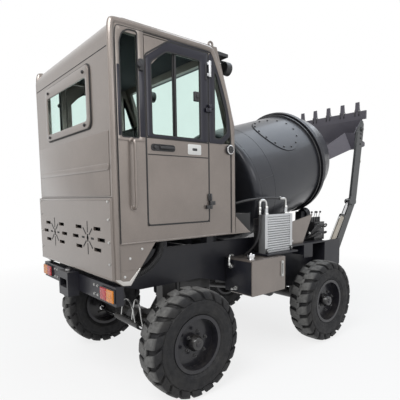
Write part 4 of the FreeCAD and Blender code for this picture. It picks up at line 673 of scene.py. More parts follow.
def tread_block(side):
    """One rubber block on one side of the tread, standing on the carcass at the top of the wheel."""
    inner, outer = -0.013, TREAD_REACH
    shape = bmesh.new()
    bmesh.ops.create_grid(shape, x_segments=9, y_segments=2, size=0.5)
    for vert in shape.verts:
        share = vert.co.x + 0.5
        half = pitch * (0.30 + 0.075 * share)
        vert.co = Vector((inner + share * (outer - inner), lean_at(share) + vert.co.y * 2 * half, 0.0))
    foot = bmesh.ops.extrude_face_region(shape, geom=shape.faces[:], use_keep_orig=True)
    foot_verts = [item for item in foot["geom"] if isinstance(item, bmesh.types.BMVert)]
    centre = Vector((outer / 2, lean_at(0.5), 0.0))
    for vert in foot_verts:
        vert.co = centre + (vert.co - centre) * 1.06
        vert.co.z = -BLOCK_DEPTH
    bmesh.ops.recalc_face_normals(shape, faces=shape.faces)
    top_edges = [edge for edge in shape.edges if len(edge.link_faces) == 2
                 and edge.calc_face_angle(0) > radians(50)
                 and all(abs(vert.co.z) < 1e-6 for vert in edge.verts)]
    bmesh.ops.bevel(shape, geom=top_edges, offset=0.0045, offset_type="OFFSET", affect="EDGES",
                    segments=2, profile=0.5, material=-1, clamp_overlap=True)
    bottom = [face for face in shape.faces if all(vert.co.z < -BLOCK_DEPTH + 1e-5 for vert in face.verts)]
    bmesh.ops.delete(shape, geom=bottom, context="FACES_ONLY")
    for vert in shape.verts:
        across, round_way, deep = vert.co.x, vert.co.y, -vert.co.z
        sideways, radius = tread_point(side * across, deep)
        angle = round_way / TYRE_RADIUS
        vert.co = Vector((radius * sin(angle), sideways, radius * cos(angle)))
    bmesh.ops.recalc_face_normals(shape, faces=shape.faces)
    return shape


# %% The whole tyre, centred on its own axle
def round_wheel(steps):
    """A turn about the axle by a number of blocks."""
    return Matrix.Rotation(steps * tau / BLOCKS, 4, "Y")


def tyre_shape():
    rings = []
    for side, start in ((1, 0.0), (-1, 0.5)):
        block_made = placed(tread_block(side), round_wheel(start))
        rings += [placed(block_made.copy(), round_wheel(turn)) for turn in range(BLOCKS)]
        block_made.free()
    low = BLOCK_DEPTH - 0.002
    wall = half_width - 0.0005
    carcass = [(-tread_point(share * TREAD_REACH, low)[0], tread_point(share * TREAD_REACH, low)[1])
               for share in (0.93, 0.82, 0.70, 0.5, 0.25)]
    belly = [(-wall * 0.80, RIM_RADIUS + 0.004), (-wall * 0.90, RIM_RADIUS + 0.018),
             (-wall * 0.93, RIM_RADIUS + 0.026), (-wall * 0.965, RIM_RADIUS + 0.030),
             (-wall * 0.985, RIM_RADIUS + 0.052), (-wall, RIM_RADIUS + 0.072), (-wall, RIM_RADIUS + 0.088),
             (-wall * 0.995, RIM_RADIUS + 0.090), (-wall * 0.995, RIM_RADIUS + 0.096),
             (-wall, RIM_RADIUS + 0.098), (-wall * 0.99, TYRE_RADIUS - 0.085)]
    bead = [(-wall * 0.62, RIM_RADIUS - 0.022), (-wall * 0.70, RIM_RADIUS - 0.002)]
    left = bead + belly + carcass
    right = [(-along_axis, radius) for along_axis, radius in reversed(left)]
    profile = left + right
    rings.append(turned(profile + [profile[0]], (0, 0, 0), (0, 1, 0), steps=84))
    return joined(rings)


# %% [markdown]
# ### Rubber
#
# The blocks' tops are scuffed and dusty, while the grooves and the side wall stay nearly black. The
# distance from the axle tells them apart, so the material measures it from the piece's own centre,
# with a Mapping node that moves the wheel's axle to the origin. So the front and the rear axle need a
# material each, both from one function.

# %% Tyre rubber
def tyre_rubber(name, centre):
    """Rubber for the wheels on the axle that passes through a centre."""
    material, tree, shader = new_material(name)
    shader.inputs["IOR"].default_value = 1.40
    place = tree.nodes.new("ShaderNodeTexCoord").outputs["Object"]
    centred = tree.nodes.new("ShaderNodeMapping")
    centred.vector_type = "POINT"
    centred.inputs["Location"].default_value = (-centre.x, 0.0, -centre.z)
    centred.inputs["Scale"].default_value = (1.0, 0.0, 1.0)
    tree.links.new(place, centred.inputs["Vector"])
    reach = tree.nodes.new("ShaderNodeVectorMath")
    reach.operation = "LENGTH"
    tree.links.new(centred.outputs[0], reach.inputs[0])
    height = spread(tree, reach.outputs["Value"], TYRE_RADIUS - 0.020, TYRE_RADIUS - 0.004)
    scuff = spread(tree, noise(tree, place, 26.0, detail=6.0, roughness=0.7).outputs["Fac"],
                   0.30, 0.62, 0.35, 1.0)
    dirt = spread(tree, noise(tree, place, 6.0, detail=5.0, roughness=0.65).outputs["Fac"], 0.40, 0.72)
    rubber = blended(tree, times(tree, height, scuff), (0.011, 0.011, 0.0125), (0.155, 0.153, 0.148))
    rubber = blended(tree, times(tree, dirt, 0.12), rubber, (0.13, 0.12, 0.10))
    tree.links.new(rubber, shader.inputs["Base Color"])
    tree.links.new(spread(tree, scuff, 0.35, 1.0, 0.52, 0.80), shader.inputs["Roughness"])
    grain = noise(tree, place, 380.0, detail=3.0)
    edges = use(tree, EDGE, width=0.003)
    bump = tree.nodes.new("ShaderNodeBump")
    bump.inputs["Strength"].default_value = 0.35
    bump.inputs["Distance"].default_value = 0.001
    tree.links.new(grain.outputs["Fac"], bump.inputs["Height"])
    tree.links.new(edges.outputs["Normal"], bump.inputs["Normal"])
    tree.links.new(bump.outputs["Normal"], shader.inputs["Normal"])
    return material


# %% Four tyres
LUG_START = 0.8014
WHEELS = ("rear_right", "rear_left", "front_right", "front_left")
axle_rubber = {"rear": tyre_rubber("rear_tyre_rubber", middle("tyre_rear_right")),
               "front": tyre_rubber("front_tyre_rubber", middle("tyre_front_right"))}
tyre_master = tyre_shape()
for wheel in WHEELS:
    shape = placed(tyre_master.copy(), round_wheel(LUG_START))
    piece("tyre_tread_" + wheel, placed(shape, Matrix.Translation(middle("tyre_" + wheel))),
          axle_rubber[wheel.split("_")[0]], "wheel_" + wheel, stands_for=("tyre_" + wheel,), crease=40)
tyre_master.free()
print("triangles in a tyre:", piece_count["tyre_tread_rear_right"])

# %% [markdown]
# ## The cab's outside
#
# The CAD cab has the right planes and openings, but real cabs are joined from pressed sheets, tubes,
# rubber seals and frames. Those thin things are what make a cab look built. They could be painted on
# with a texture, yet a real seam has depth and casts a shadow, so here each one is a thin piece.
#
# First come the cab's own lines, measured from the CAD boxes, and the paint of its dark upper half.

# %% Lines of the cab
side_face = box("cab_skirts")[1].y
back_face = cab_low.x
roof_top = box("cab_roof")[1].z
roof_seam = box("cab_roof")[0].z
cab_front = cab_high.x
cover_low, cover_high = box("rear_cover")
door_low = box("door_right")[0]
pane_low, pane_high = box("door_glass_right")
door_back = door_low.x
door_front = pane_high.x + 0.048
window_sill = pane_low.z


def flank(sign, lift=0.0):
    """The y of a plane that lies a lift outside the cab's side; sign is -1 on the right."""
    return sign * (side_face + lift)


print("cab side at", round(side_face, 3), "door from", round(door_back, 3), "to", round(door_front, 3))

PILLAR_PAINT = finish("pillar_blue_black_lacquer", (0.011, 0.011, 0.020),
                      metallic=0.15, roughness=0.30, coat=0.15, ior=1.40,
                      coat_roughness=0.08, waves=0.06, dust=0.10, dust_height=2.8)


def both_sides(name, make, material, body="chassis", **options):
    """One piece on each side: make(sign) gives the shape, where sign is -1 on the right."""
    for side, sign in SIDES:
        carrier = body % side if "%s" in body else body
        piece("%s_%s" % (name, side), make(sign), material, carrier, **options)

# %% [markdown]
# ### Plates with holes
#
# A window frame is a plate with a hole. Blender has no plate-with-a-hole command, but it can fill the
# space between closed loops of edges with triangles. So the outer loop and the hole are drawn as flat
# faces with rounded corners, their faces are thrown away, and the loops are filled. Pulling the result
# into a plate then works just as for a plain one.

# %% A plate with a hole
def holed(outer, hole, depth, outer_rounding=0.0, hole_rounding=0.0, edge=0.0):
    """A plate between two outlines, pulled along depth."""
    shape = joined([flat(outer, outer_rounding), flat(hole, hole_rounding)])
    bmesh.ops.delete(shape, geom=shape.faces[:], context="FACES_ONLY")
    bmesh.ops.triangle_fill(shape, use_beauty=True, edges=shape.edges[:])
    return thickened(shape, depth, edge)


# %% [markdown]
# ### The side band
#
# A round tube frames each side of the cab: up the rear post, round the top corner, along the roof and
# down the curved front post. A NURBS curve passes smoothly near its control points, so a few points at
# the corners are enough. A second, thinner tube of black rubber follows inside it and reads as the
# seal between band and side panel.

# %% Side bands and their seals
CAB_FOOT, SILL_Z, FRONT_POST_X = 1.262, 1.258, -0.652


def side_line(inset, y, low):
    """The cab's side outline, drawn in by an inset: up the back, along the roof, down the front."""
    top = roof_top - inset
    back = back_face + inset
    return side_points(y, (back, low), (back, 1.90), (back, top - 0.25), (back, top - 0.015),
                       (back + 0.03, top), (back + 0.25, top), (-1.20, top), (-0.95, top),
                       (-0.885 - inset / 2, top - 0.012), (-0.735 - inset, 2.43),
                       (-0.668 - inset, 2.20), (FRONT_POST_X - inset, 1.98),
                       (FRONT_POST_X - inset, 1.60), (FRONT_POST_X - inset, CAB_FOOT))


for side, sign in SIDES:
    pipe("cab_side_band_" + side, side_line(0.024, flank(sign, -0.010), cover_low.z + 0.006), 0.0235,
         CAB_PAINT)
    pipe("cab_side_seal_" + side, side_line(0.0515, flank(sign, 0.0005), CAB_FOOT), 0.0045, GASKET)
    pipe("cab_sill_lip_" + side,
         side_points(flank(sign, -0.002), (back_face + 0.05, SILL_Z), (-1.2, SILL_Z),
                     (cab_front - 0.05, SILL_Z)), 0.0075, CAB_PAINT)

# %% [markdown]
# ### Rear window, creases and seams
#
# The rear pane sits behind a raised frame on a thick rubber seal, held by four black corner bolts.
# Under it, the sheet is pressed: a broad raised field with a bead across it. Pressings make thin sheet
# stiff. They are only a few millimetres high, but their rounded edges catch two lines of light. A black
# joint runs where the roof cap meets the wall, and another where the wall meets the engine cover.

# %% Rear wall
WINDOW_Y, WINDOW_LOW, WINDOW_HIGH = 0.462, 2.088, 2.536
REAR_HALF = 0.735


def rear_rectangle(x, half, low, high):
    return rectangle_yz(x, -half, half, low, high)


piece("rear_window_seal",
      holed(rear_rectangle(back_face, WINDOW_Y + 0.009, WINDOW_LOW - 0.009, WINDOW_HIGH + 0.009),
            rear_rectangle(back_face, 0.425, 2.125, 2.46), (-0.007, 0, 0), 0.055, 0.03, 0.0025), GASKET)
piece("rear_window_frame", holed(rear_rectangle(back_face - 0.003, WINDOW_Y, WINDOW_LOW, WINDOW_HIGH),
                                 rear_rectangle(back_face - 0.003, 0.412, 2.142, 2.450), (-0.013, 0, 0),
                                 0.05, 0.028, 0.004),
      CAB_PAINT)
corner_bolts = [(back_face - 0.016, y, z) for y in (-0.375, 0.375) for z in (2.116, 2.494)]
piece("rear_window_bolts", bolts(corner_bolts, (-1, 0, 0), 0.012), BLACK_PLASTIC)
field = plate(rear_rectangle(back_face, 0.722, 1.594, 2.036), (-0.0035, 0, 0), 0.012, 0.003)
bead = plate(rear_rectangle(back_face - 0.003, 0.720, 1.770, 1.818), (-0.006, 0, 0), 0.02, 0.0055)
piece("rear_wall_pressing", joined([field, bead]), CAB_PAINT, crease=50)
joints = [block((back_face - 0.0015, -REAR_HALF, roof_seam - 0.0025),
                (back_face + 0.01, REAR_HALF, roof_seam + 0.0025)),
          block((back_face - 0.006, -REAR_HALF, cover_high.z - 0.003),
                (back_face + 0.01, REAR_HALF, cover_high.z + 0.004))]
piece("rear_wall_joints", joined(joints), GASKET)

# %% [markdown]
# ### Engine cover
#
# The cover under the rear wall is pierced with two stars of slots that let the engine's heat out. Bolts
# hold it down both edges, and a folded lip stiffens its top and bottom. Thin black strips over the slots
# are painted shade, the dark inside them. Behind them a black panel with a row of fins stands for the
# radiator's core, and its black is painted shade too, the dark of the engine bay.

# %% Cover bolts and lips
COVER_HALF = 0.742
cover_bolts = [(cover_low.x, sign * (COVER_HALF - 0.026), z) for sign in (-1, 1)
               for z in (1.557, 1.432, 1.273, 1.121)]
piece("cover_bolts", bolts(cover_bolts, (-1, 0, 0), 0.0095), STEEL)
lips = [block((cover_low.x - 0.003, -COVER_HALF, z - 0.006),
              (cover_low.x + 0.004, COVER_HALF, z + 0.006), 0.0025)
        for z in (cover_low.z + 0.008, cover_high.z - 0.012)]
piece("cover_lips", joined(lips), CAB_PAINT, crease=50)


# %% Black strips of painted shade over the narrow slots of both stars
STAR_Y, STAR_Z, STAR_FACE = 0.357, 1.281, cover_low.x


def star_slot_painted_shade(y, z, length, height, angle=0.0):
    """A thin black strip of painted shade over one slot, turned about the slot's middle."""
    corners = [(run * length / 2, rise * height / 2) for run, rise in ((-1, -1), (1, -1), (1, 1), (-1, 1))]
    spots = [(STAR_FACE, y + run * cos(angle) - rise * sin(angle),
              z + run * sin(angle) + rise * cos(angle)) for run, rise in corners]
    return plate(spots, (-0.0012, 0, 0), min(length, height) * 0.3, 0.0004)


strips = []
for side, sign in SIDES:
    middle_y = sign * STAR_Y
    for run in (-1, 1):
        strips.append(star_slot_painted_shade(middle_y + run * 0.084, STAR_Z, 0.050, 0.016))
        strips.append(star_slot_painted_shade(middle_y, STAR_Z + run * 0.084, 0.012, 0.088))
        for rise in (-1, 1):
            strips.append(star_slot_painted_shade(middle_y + run * 0.056, STAR_Z + rise * 0.050, 0.076,
                                      0.012, run * rise * radians(41)))
    strips.append(star_slot_painted_shade(middle_y, STAR_Z, 0.030, 0.030, radians(45)))
    strips.append(star_slot_painted_shade(middle_y, STAR_Z, 0.022, 0.060))
# Gasket rubber used as painted shade: the black strips darken the slots like the shade inside them.
piece("cover_slot_painted_shade", joined(strips), GASKET)

# %% The core behind the slots, black as painted shade
CORE_HALF, FIN_ROWS, FIN_PITCH = 0.68, 20, 0.011
core_x = cover_high.x + 0.014
fins = [block((core_x, 0.02 - CORE_HALF, cover_low.z + 0.16 + FIN_PITCH * row),
              (core_x + 0.010, CORE_HALF - 0.02, cover_low.z + 0.166 + FIN_PITCH * row))
        for row in range(FIN_ROWS)]
core = block((core_x + 0.006, -CORE_HALF, cover_low.z + 0.14),
             (core_x + 0.022, CORE_HALF, cover_low.z + 0.40), 0.004)
# Black moulding as painted shade: the dark of the engine bay seen through the slots.
piece("radiator_core_painted_shade", joined(fins + [core]), BLACK_PLASTIC)

# %% [markdown]
# ### Side windows
#
# Round the side windows the sheet is dark, almost black with a blue cast, and the panes have rounded
# corners. The CAD openings are plain, so a plate with a rounder hole covers each opening's rim, and a
# rubber lip lines the hole. The same functions serve the quarter pane behind the door, whose plate has
# the cab's own colour, and the vent pane in front of it, whose plate is dark.

# %% Quarter and vent panes
def window_plate(sign, outer, hole, rounding, thickness=0.004):
    return holed(side_points(flank(sign), *outer), side_points(flank(sign), *hole),
                 (0, sign * thickness, 0), 0.012, rounding, 0.0015)


def window_lip(sign, hole, rounding, lift=0.004):
    return border(side_points(flank(sign, lift), *hole), 0.009, (0, sign * -0.014, 0), rounding, 0.0015)


QUARTER_OUTER = [(back_face + 0.055, 1.972), (door_back - 0.008, 1.972), (door_back - 0.008, 2.744),
                 (back_face + 0.064, 2.744), (back_face + 0.055, 2.735)]
QUARTER_HOLE = [(back_face + 0.080, 1.992), (door_back - 0.052, 1.992), (door_back - 0.052, 2.716),
                (back_face + 0.152, 2.716), (back_face + 0.102, 2.684), (back_face + 0.080, 2.620)]
VENT_OUTER = [(door_front + 0.0075, 2.010), (-0.800, 2.010), (-0.712, 2.085), (-0.722, 2.290),
              (-0.790, 2.465), (-0.885, 2.650), (-0.915, 2.7), (door_front + 0.0075, 2.708)]
VENT_HOLE = [(door_front + 0.060, 2.046), (-0.816, 2.046), (-0.742, 2.105), (-0.752, 2.270),
             (-0.812, 2.430), (-0.858, 2.560), (door_front + 0.060, 2.590)]
both_sides("quarter_window_plate",
           lambda sign: window_plate(sign, QUARTER_OUTER, QUARTER_HOLE, 0.020), CAB_PAINT)
both_sides("quarter_window_lip", lambda sign: window_lip(sign, QUARTER_HOLE, 0.020), GASKET)
both_sides("vent_window_plate", lambda sign: window_plate(sign, VENT_OUTER, VENT_HOLE, 0.022), PILLAR_PAINT)
both_sides("vent_window_lip", lambda sign: window_lip(sign, VENT_HOLE, 0.022), GASKET)


def pillar_skins(sign):
    """Dark strips in front of and behind the door's upper half."""
    strips = [plate(side_points(flank(sign, 0.0035), (back, 2.004), (front, 2.004), (front, front_top),
                                (back, back_top)), (0, sign * 0.002, 0), 0.004, 0.0008)
              for back, front, front_top, back_top in ((door_back - 0.050, door_back - 0.009, 2.53, 2.50),
                                                       (back_face + 0.060, back_face + 0.079, 2.47, 2.47))]
    roof = plate(side_points(flank(sign), (-1.34, 2.713), (-0.93, 2.713), (-0.90, 2.722), (-1.34, 2.722)),
                 (0, sign * 0.0035, 0), 0.0, 0.001)
    return joined(strips + [roof])


both_sides("pillar_skins", pillar_skins, PILLAR_PAINT)

# %% [markdown]
# ### Window hooks and vent strips
#
# A small black hook holds each quarter pane, and a ribbed black strip vents the door's front corner.
# They are tiny, but their dark lines show from across a yard.

# %% Hooks and vent strips
def hook(sign):
    x = door_back - 0.05
    return joined([block((x - 0.002, flank(sign, 0.005), 2.455), (x + 0.037, flank(sign, 0.021), 2.535),
                         0.007, 3),
                   bar((x, flank(sign, 0.011), 2.495), (x, flank(sign, 0.027), 2.495), 0.021, 20, 0.004)])


def vent_strip(sign):
    x = door_front - 0.025
    ribs = [block((x - 0.005, flank(sign, 0.006), z), (x + 0.005, flank(sign, 0.0115), z + 0.006), 0.001)
            for z in [2.502 + 0.009 * step for step in range(13)]]
    return joined([block((x - 0.008, flank(sign, 0.004), 2.496), (x + 0.008, flank(sign, 0.009), 2.622),
                         0.002)] + ribs)


both_sides("quarter_window_hook", hook, BLACK_PLASTIC)
both_sides("vent_strip", vent_strip, BLACK_PLASTIC, body="door_%s")

# %% [markdown]
# ## Doors
#
# Each door is a pressed lower panel with a darker window frame above it. In the CAD the whole door has
# one colour, so the dark upper frame is laid over it as a thin plate with one hole for both sliding
# panes, and the top rear corner is cut off at a slant. Everything here rides on the door's own body, so
# it swings with it.

# %% Dark window frame
DOOR_TOP, CORNER_X, CORNER_Z = 2.700, -1.345, 2.566
FRAME_OUTER = [(door_back + 0.009, window_sill - 0.001), (door_front - 0.008, window_sill - 0.001),
               (door_front - 0.008, DOOR_TOP), (CORNER_X, DOOR_TOP), (door_back + 0.009, CORNER_Z)]
PANE_HOLE = [(-1.496, 2.026), (-1.034, 2.026), (-1.034, 2.640), (-1.352, 2.640), (-1.496, 2.540)]


def door_frame(sign):
    return window_plate(sign, FRAME_OUTER, PANE_HOLE, 0.022, 0.0045)


both_sides("door_window_frame", door_frame, PILLAR_PAINT, body="door_%s")
both_sides("door_window_lip", lambda sign: window_lip(sign, PANE_HOLE, 0.022, 0.0045),
           GASKET, body="door_%s")

# %% [markdown]
# The two panes overlap at a thin upright: a black rubber bar, with a narrower one behind it where the
# glass of the rear pane ends. A catch sits halfway up the front pane.

# %% Upright and catch
SPLIT_X = -1.276


def pane_upright(sign):
    return joined([block((SPLIT_X - 0.007, flank(sign, -0.024), 2.03),
                         (SPLIT_X + 0.011, flank(sign, -0.002), 2.645), 0.002),
                   block((SPLIT_X - 0.020, flank(sign, -0.018), 2.03),
                         (SPLIT_X - 0.012, flank(sign, -0.008), 2.645), 0.001)])


def pane_catch(sign):
    return joined([block((-1.098, flank(sign, -0.014), 2.320),
                         (-1.048, flank(sign, 0.010), 2.394), 0.006, 3),
                   block((-1.086, flank(sign, 0.009), 2.345),
                         (-1.060, flank(sign, 0.020), 2.369), 0.004, 3)])


both_sides("pane_upright", pane_upright, GASKET, body="door_%s")
both_sides("pane_catch", pane_catch, BLACK_PLASTIC, body="door_%s")

# %% [markdown]
# ### Door seams, handle and label
#
# A black seam runs all round the door, with the rubber seal showing in it. A second seam crosses under
# the windows. The pull handle is a long cup let into the panel: a ring-shaped lip, a dark hollow and a
# grip bar across it. Beside it is a white plate, left blank, with a keyhole slot.

# %% Seams
def door_seams(sign):
    y = flank(sign, -0.004)
    depth = (0, sign * 0.0065, 0)
    frame_line = border(side_points(y, (door_back - 0.006, door_low.z - 0.006),
                                    (door_front + 0.006, door_low.z - 0.006),
                                    (door_front + 0.006, DOOR_TOP + 0.012), (CORNER_X, DOOR_TOP + 0.012),
                                    (door_back - 0.006, CORNER_Z + 0.010)), 0.0115, depth, 0.03, 0.001)
    sill = block((door_back + 0.006, flank(sign, -0.002), window_sill - 0.010),
                 (door_front - 0.006, flank(sign, 0.0030), window_sill - 0.002), 0.001)
    strip = block((door_back + 0.010, flank(sign, -0.002), 1.886),
                  (door_front - 0.010, flank(sign, 0.0022), 1.893), 0.001)
    return joined([frame_line, sill, strip])


both_sides("door_seams", door_seams, GASKET, body="door_%s")


def cup_outline(sign, lift, inset):
    """The handle's outline on the door, drawn in by an inset."""
    return rectangle_xz(flank(sign, lift), -1.504 + inset, -1.292 - inset, 1.917 + inset, 1.967 - inset)


def handle_cup(sign):
    shell = holed(cup_outline(sign, 0.0, 0.0), cup_outline(sign, 0.0, 0.008), (0, sign * 0.006, 0),
                  0.020, 0.014, 0.002)
    grip = block((-1.430, flank(sign, 0.002), 1.932), (-1.305, flank(sign, 0.017), 1.955), 0.007, 3)
    button = bar((-1.470, flank(sign, 0.001), 1.942), (-1.470, flank(sign, 0.014), 1.942), 0.0125, 24, 0.003)
    hollow = plate(cup_outline(sign, 0.0005, 0.007), (0, sign * 0.001, 0), 0.014)
    return joined([shell, grip, button, hollow])


def label_plate(sign):
    return plate(rectangle_xz(flank(sign), -1.168, -1.034, 1.908, 1.988),
                 (0, sign * 0.0022, 0), 0.010, 0.0008)


def key_slot(sign):
    return plate(rectangle_xz(flank(sign, 0.0018), -1.124, -1.076, 1.938, 1.958), (0, sign * 0.0020, 0),
                 0.007, 0.0006)


both_sides("door_handle", handle_cup, BLACK_PLASTIC, body="door_%s")
both_sides("door_label", label_plate, LABEL, body="door_%s")
both_sides("door_key_slot", key_slot, BLACK_PLASTIC, body="door_%s")

# %% [markdown]
# ### Hinges
#
# The doors hang at their front edge on pin hinges. The joint in the CAD says where the pin is, so the
# knuckles are made on that line. Two leaves hold them, one on the door and one on the cab. A short stay
# sits above the lower hinge, and a long bright hinge stands at the top.

# %% Hinges
HINGE_SLEEVES = (("lower", 1.509, BLACK_PAINT), ("middle", 2.280, PILLAR_PAINT))


def hinge_half(pin, sign, low, high, reach):
    """A knuckle on the pin's line with a pad that reaches forward or back from it."""
    inner, outer = sorted((flank(sign), flank(sign, 0.0228)))
    near, far = sorted((pin.x + (0.0075 if reach > 0 else -0.0115), pin.x + reach))
    knuckle = bar((pin.x, pin.y, low), (pin.x, pin.y, high), 0.0126, 24, 0.001)
    pad = block((near, inner, low), (far, outer, high), 0.002)
    bridge = block((min(near, pin.x), pin.y - 0.0043, low + 0.0003),
                   (max(far, pin.x), pin.y + 0.0043, high - 0.0003))
    return joined([knuckle, pad, bridge])


def hinge_leaf(pin, sign, back, front, low, high, thickness):
    """A small plate on the door's face behind the pin."""
    inner, outer = sorted((flank(sign), flank(sign, thickness)))
    return block((pin.x - back, inner, low), (pin.x - front, outer, high), 0.002)


for side, sign in SIDES:
    pin = joint_at["door_%s_swing" % side]
    for name, height, material in HINGE_SLEEVES:
        piece("door_%s_hinge_%s" % (name, side),
              hinge_half(pin, sign, height - 0.0308, height - 0.0006, -0.047), material,
              "door_" + side, "black_steel")
        piece("cab_%s_hinge_%s" % (name, side),
              hinge_half(pin, sign, height + 0.0006, height + 0.0322, 0.043), material, slot="black_steel")
    stay = [bar((pin.x, pin.y, 1.543), (pin.x, pin.y, 1.603), 0.010, 20, 0.002),
            hinge_leaf(pin, sign, 0.024, 0.004, 1.545, 1.600, 0.014)]
    piece("door_stay_" + side, joined(stay), BLACK_PAINT, "door_" + side)
    upper_hinge = [bar((pin.x, pin.y, 2.522), (pin.x, pin.y, 2.646), 0.0115, 24, 0.002)]
    upper_hinge += [hinge_leaf(pin, sign, 0.020, 0.002, z, z + 0.022, 0.012) for z in (2.530, 2.616)]
    piece("door_upper_hinge_" + side, joined(upper_hinge), ALUMINIUM, "door_" + side, "rod_chrome")

# %% [markdown]
# ### Grab handles and side lamps
#
# The grab handle behind each door is a bent tube. It leaves the panel on short feet, bows outward and
# comes back at the bottom. The CAD only has its straight grip, so the tube made here replaces it. The
# round lamps on the front pillars have a chrome ring and a clear lens.

# %% Grab handles
handle_low, handle_high = box("grab_handles")
handle_x = (handle_low.x + handle_high.x) / 2
HANDLE_BOW = ((-0.004, 1.975), (0.030, 1.982), (0.045, 1.962), (0.045, 1.90), (0.045, 1.74),
              (0.045, 1.585), (0.045, 1.522), (0.028, 1.500), (-0.004, 1.508))
handles = []
for side, sign in SIDES:
    route = [(handle_x, flank(sign, out), z) for out, z in HANDLE_BOW]
    handles.append(pipe("grab_handle_" + side, route, 0.0105, CAB_PAINT))
    feet = [bar((handle_x, flank(sign), z), (handle_x, flank(sign, 0.005), z), 0.022, 24, 0.002)
            for z in (1.976, 1.508)]
    handles.append(piece("grab_handle_feet_" + side, joined(feet), CAB_PAINT))
for handle in handles:
    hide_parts("grab_handles")

# %% Side lamps
lamp_low, lamp_high = box("side_lamps")
lamp_x, lamp_z = (lamp_low.x + lamp_high.x) / 2, (lamp_low.z + lamp_high.z) / 2


def lamp_ring(sign):
    return turned([(0.016, 0.036), (0.019, 0.0385), (0.0235, 0.0385), (0.0262, 0.035),
                   (0.0262, 0.032), (0.022, 0.0305), (0.018, 0.0305), (0.016, 0.036)],
                  (lamp_x, flank(sign), lamp_z), (0, sign, 0), 40)


def lamp_glass(sign):
    return turned([(0.018, 0.0), (0.018, 0.0302), (0.022, 0.0302), (0.0248, 0.022), (0.0262, 0.010),
                   (0.0266, 0.0)], (lamp_x, flank(sign), lamp_z), (0, sign, 0), 40)


both_sides("side_lamp_ring", lamp_ring, CHROME)
both_sides("side_lamp_lens", lamp_glass, CLEAR_LENS)
print("cab pieces so far:", len(piece_count), "with", sum(piece_count.values()), "triangles")

# %% [markdown]
# ## The rear end
#
# The CAD lamps are plain boxes. A real lamp has a black housing, a red half and an amber half under
# ribbed plastic, and two screws. The housings and lenses made here stand for the boxes. The red half
# is the inner one in both lamps.

# %% Tail lamps
tail_low, tail_high = box("tail_lamps")
LAMP_INNER = 0.530


def tail_lens(right, left):
    return block((tail_low.x, right, tail_low.z + 0.005),
                 (tail_low.x + 0.013, left, tail_high.z - 0.005), 0.005, 3)


housings, reds, ambers, screws = [], [], [], []
for side, sign in SIDES:
    outer, inner = sign * tail_high.y, sign * LAMP_INNER
    low, high = sorted((outer, inner))
    half = (low + high) / 2
    housings.append(block((tail_low.x + 0.011, low, tail_low.z), (tail_high.x, high, tail_high.z), 0.004))
    left_lens, right_lens = tail_lens(half + 0.001, high - 0.004), tail_lens(low + 0.004, half - 0.001)
    reds.append(left_lens if sign < 0 else right_lens)
    ambers.append(right_lens if sign < 0 else left_lens)
    screws += [(tail_low.x + 0.0005, y, (tail_low.z + tail_high.z) / 2) for y in (low + 0.030, high - 0.030)]
screw_heads = joined([bar(place, (place[0] - 0.0005, place[1], place[2]), 0.004, 12) for place in screws])
for name, shape, material in (("housings", joined(housings), BLACK_PLASTIC), ("red", joined(reds), RED_LENS),
                              ("amber", joined(ambers), AMBER_LENS), ("screws", screw_heads, STEEL)):
    piece("tail_lamp_" + name, shape, material, stands_for=("tail_lamps",))

# %% [markdown]
# ### Bumper beam and tow jaw
#
# Bolts beside the jaw hold the bumper's beam. The tow pin has a bright round head.

# %% Bumper bolts and tow pin
beam_low, beam_high = box("rear_bumper")
jaw_low, jaw_high = box("tow_hitch")
beam_bolts = [(beam_low.x, y, z) for y in (-0.46, -0.40, 0.40, 0.46)
              for z in (beam_low.z + 0.035, beam_high.z - 0.035)]
piece("bumper_bolts", bolts(beam_bolts, (-1, 0, 0), 0.010), STEEL)
pin_x = (jaw_low.x + back_face) / 2
pin_head = turned([(0.0, 0.0), (0.0, 0.020), (0.004, 0.0245), (0.012, 0.0245), (0.016, 0.019),
                   (0.018, 0.0)], (pin_x, 0, jaw_high.z - 0.0205), (0, 0, 1), 28)
piece("tow_pin_head", pin_head, STEEL)

# %% [markdown]
# ### Under the cab
#
# A gusset plate hangs under the rear of each cab side. Its slanted lower edge is folded into a lip, a
# pressed line runs above it, and small bolts hold the plate. The lip is a flat outline that is wide at the
# corner and narrow up the slant, pulled out into a thin plate, and its pale colour is a painted highlight
# where the fold catches the light.

# %% Gusset lips, folds and bolts
GUSSET_EDGE = [(back_face + 0.004, 1.000), (back_face + 0.055, 0.962), (-1.714, 0.955)]


def gusset_trim(sign):
    y = flank(sign, -0.006)
    strips = []
    for (x0, z0), (x1, z1) in zip(GUSSET_EDGE, GUSSET_EDGE[1:]):
        strips.append(plate(side_points(y, (x0, z0 - 0.001), (x1, z1 - 0.001), (x1, z1 + 0.008),
                                        (x0, z0 + 0.008)), (0, sign * -0.060, 0), 0.0, 0.001))
    fold = plate(side_points(y + sign * 0.0015, (back_face + 0.03, 1.060), (-1.630, 1.068), (-1.634, 1.073),
                             (back_face + 0.03, 1.065)), (0, sign * 0.0025, 0), 0.0, 0.001)
    return joined(strips + [fold])


# A pale colour that is a painted highlight: the light caught by the folded lip.
LIP_PAINTED_HIGHLIGHT = finish("gusset_lip_painted_highlight", (0.56, 0.54, 0.51), metallic=0.4,
                   roughness=0.32, coat=0.4, dust=0.1)


def gusset_lip(sign):
    """The folded lip at the gusset's lower corner, wide at the corner, narrow up the slant, a painted
    highlight.
    """
    y = flank(sign, -0.003)
    return plate(side_points(y, (back_face + 0.006, 1.006), (-1.7640, 0.9645), (-1.7005, 0.9560),
                             (-1.6160, 1.0690), (-1.6240, 1.0740), (-1.7100, 0.9880), (-1.7600, 0.9930),
                             (back_face + 0.006, 1.030)), (0, sign * 0.0025, 0), 0.003, 0.001)


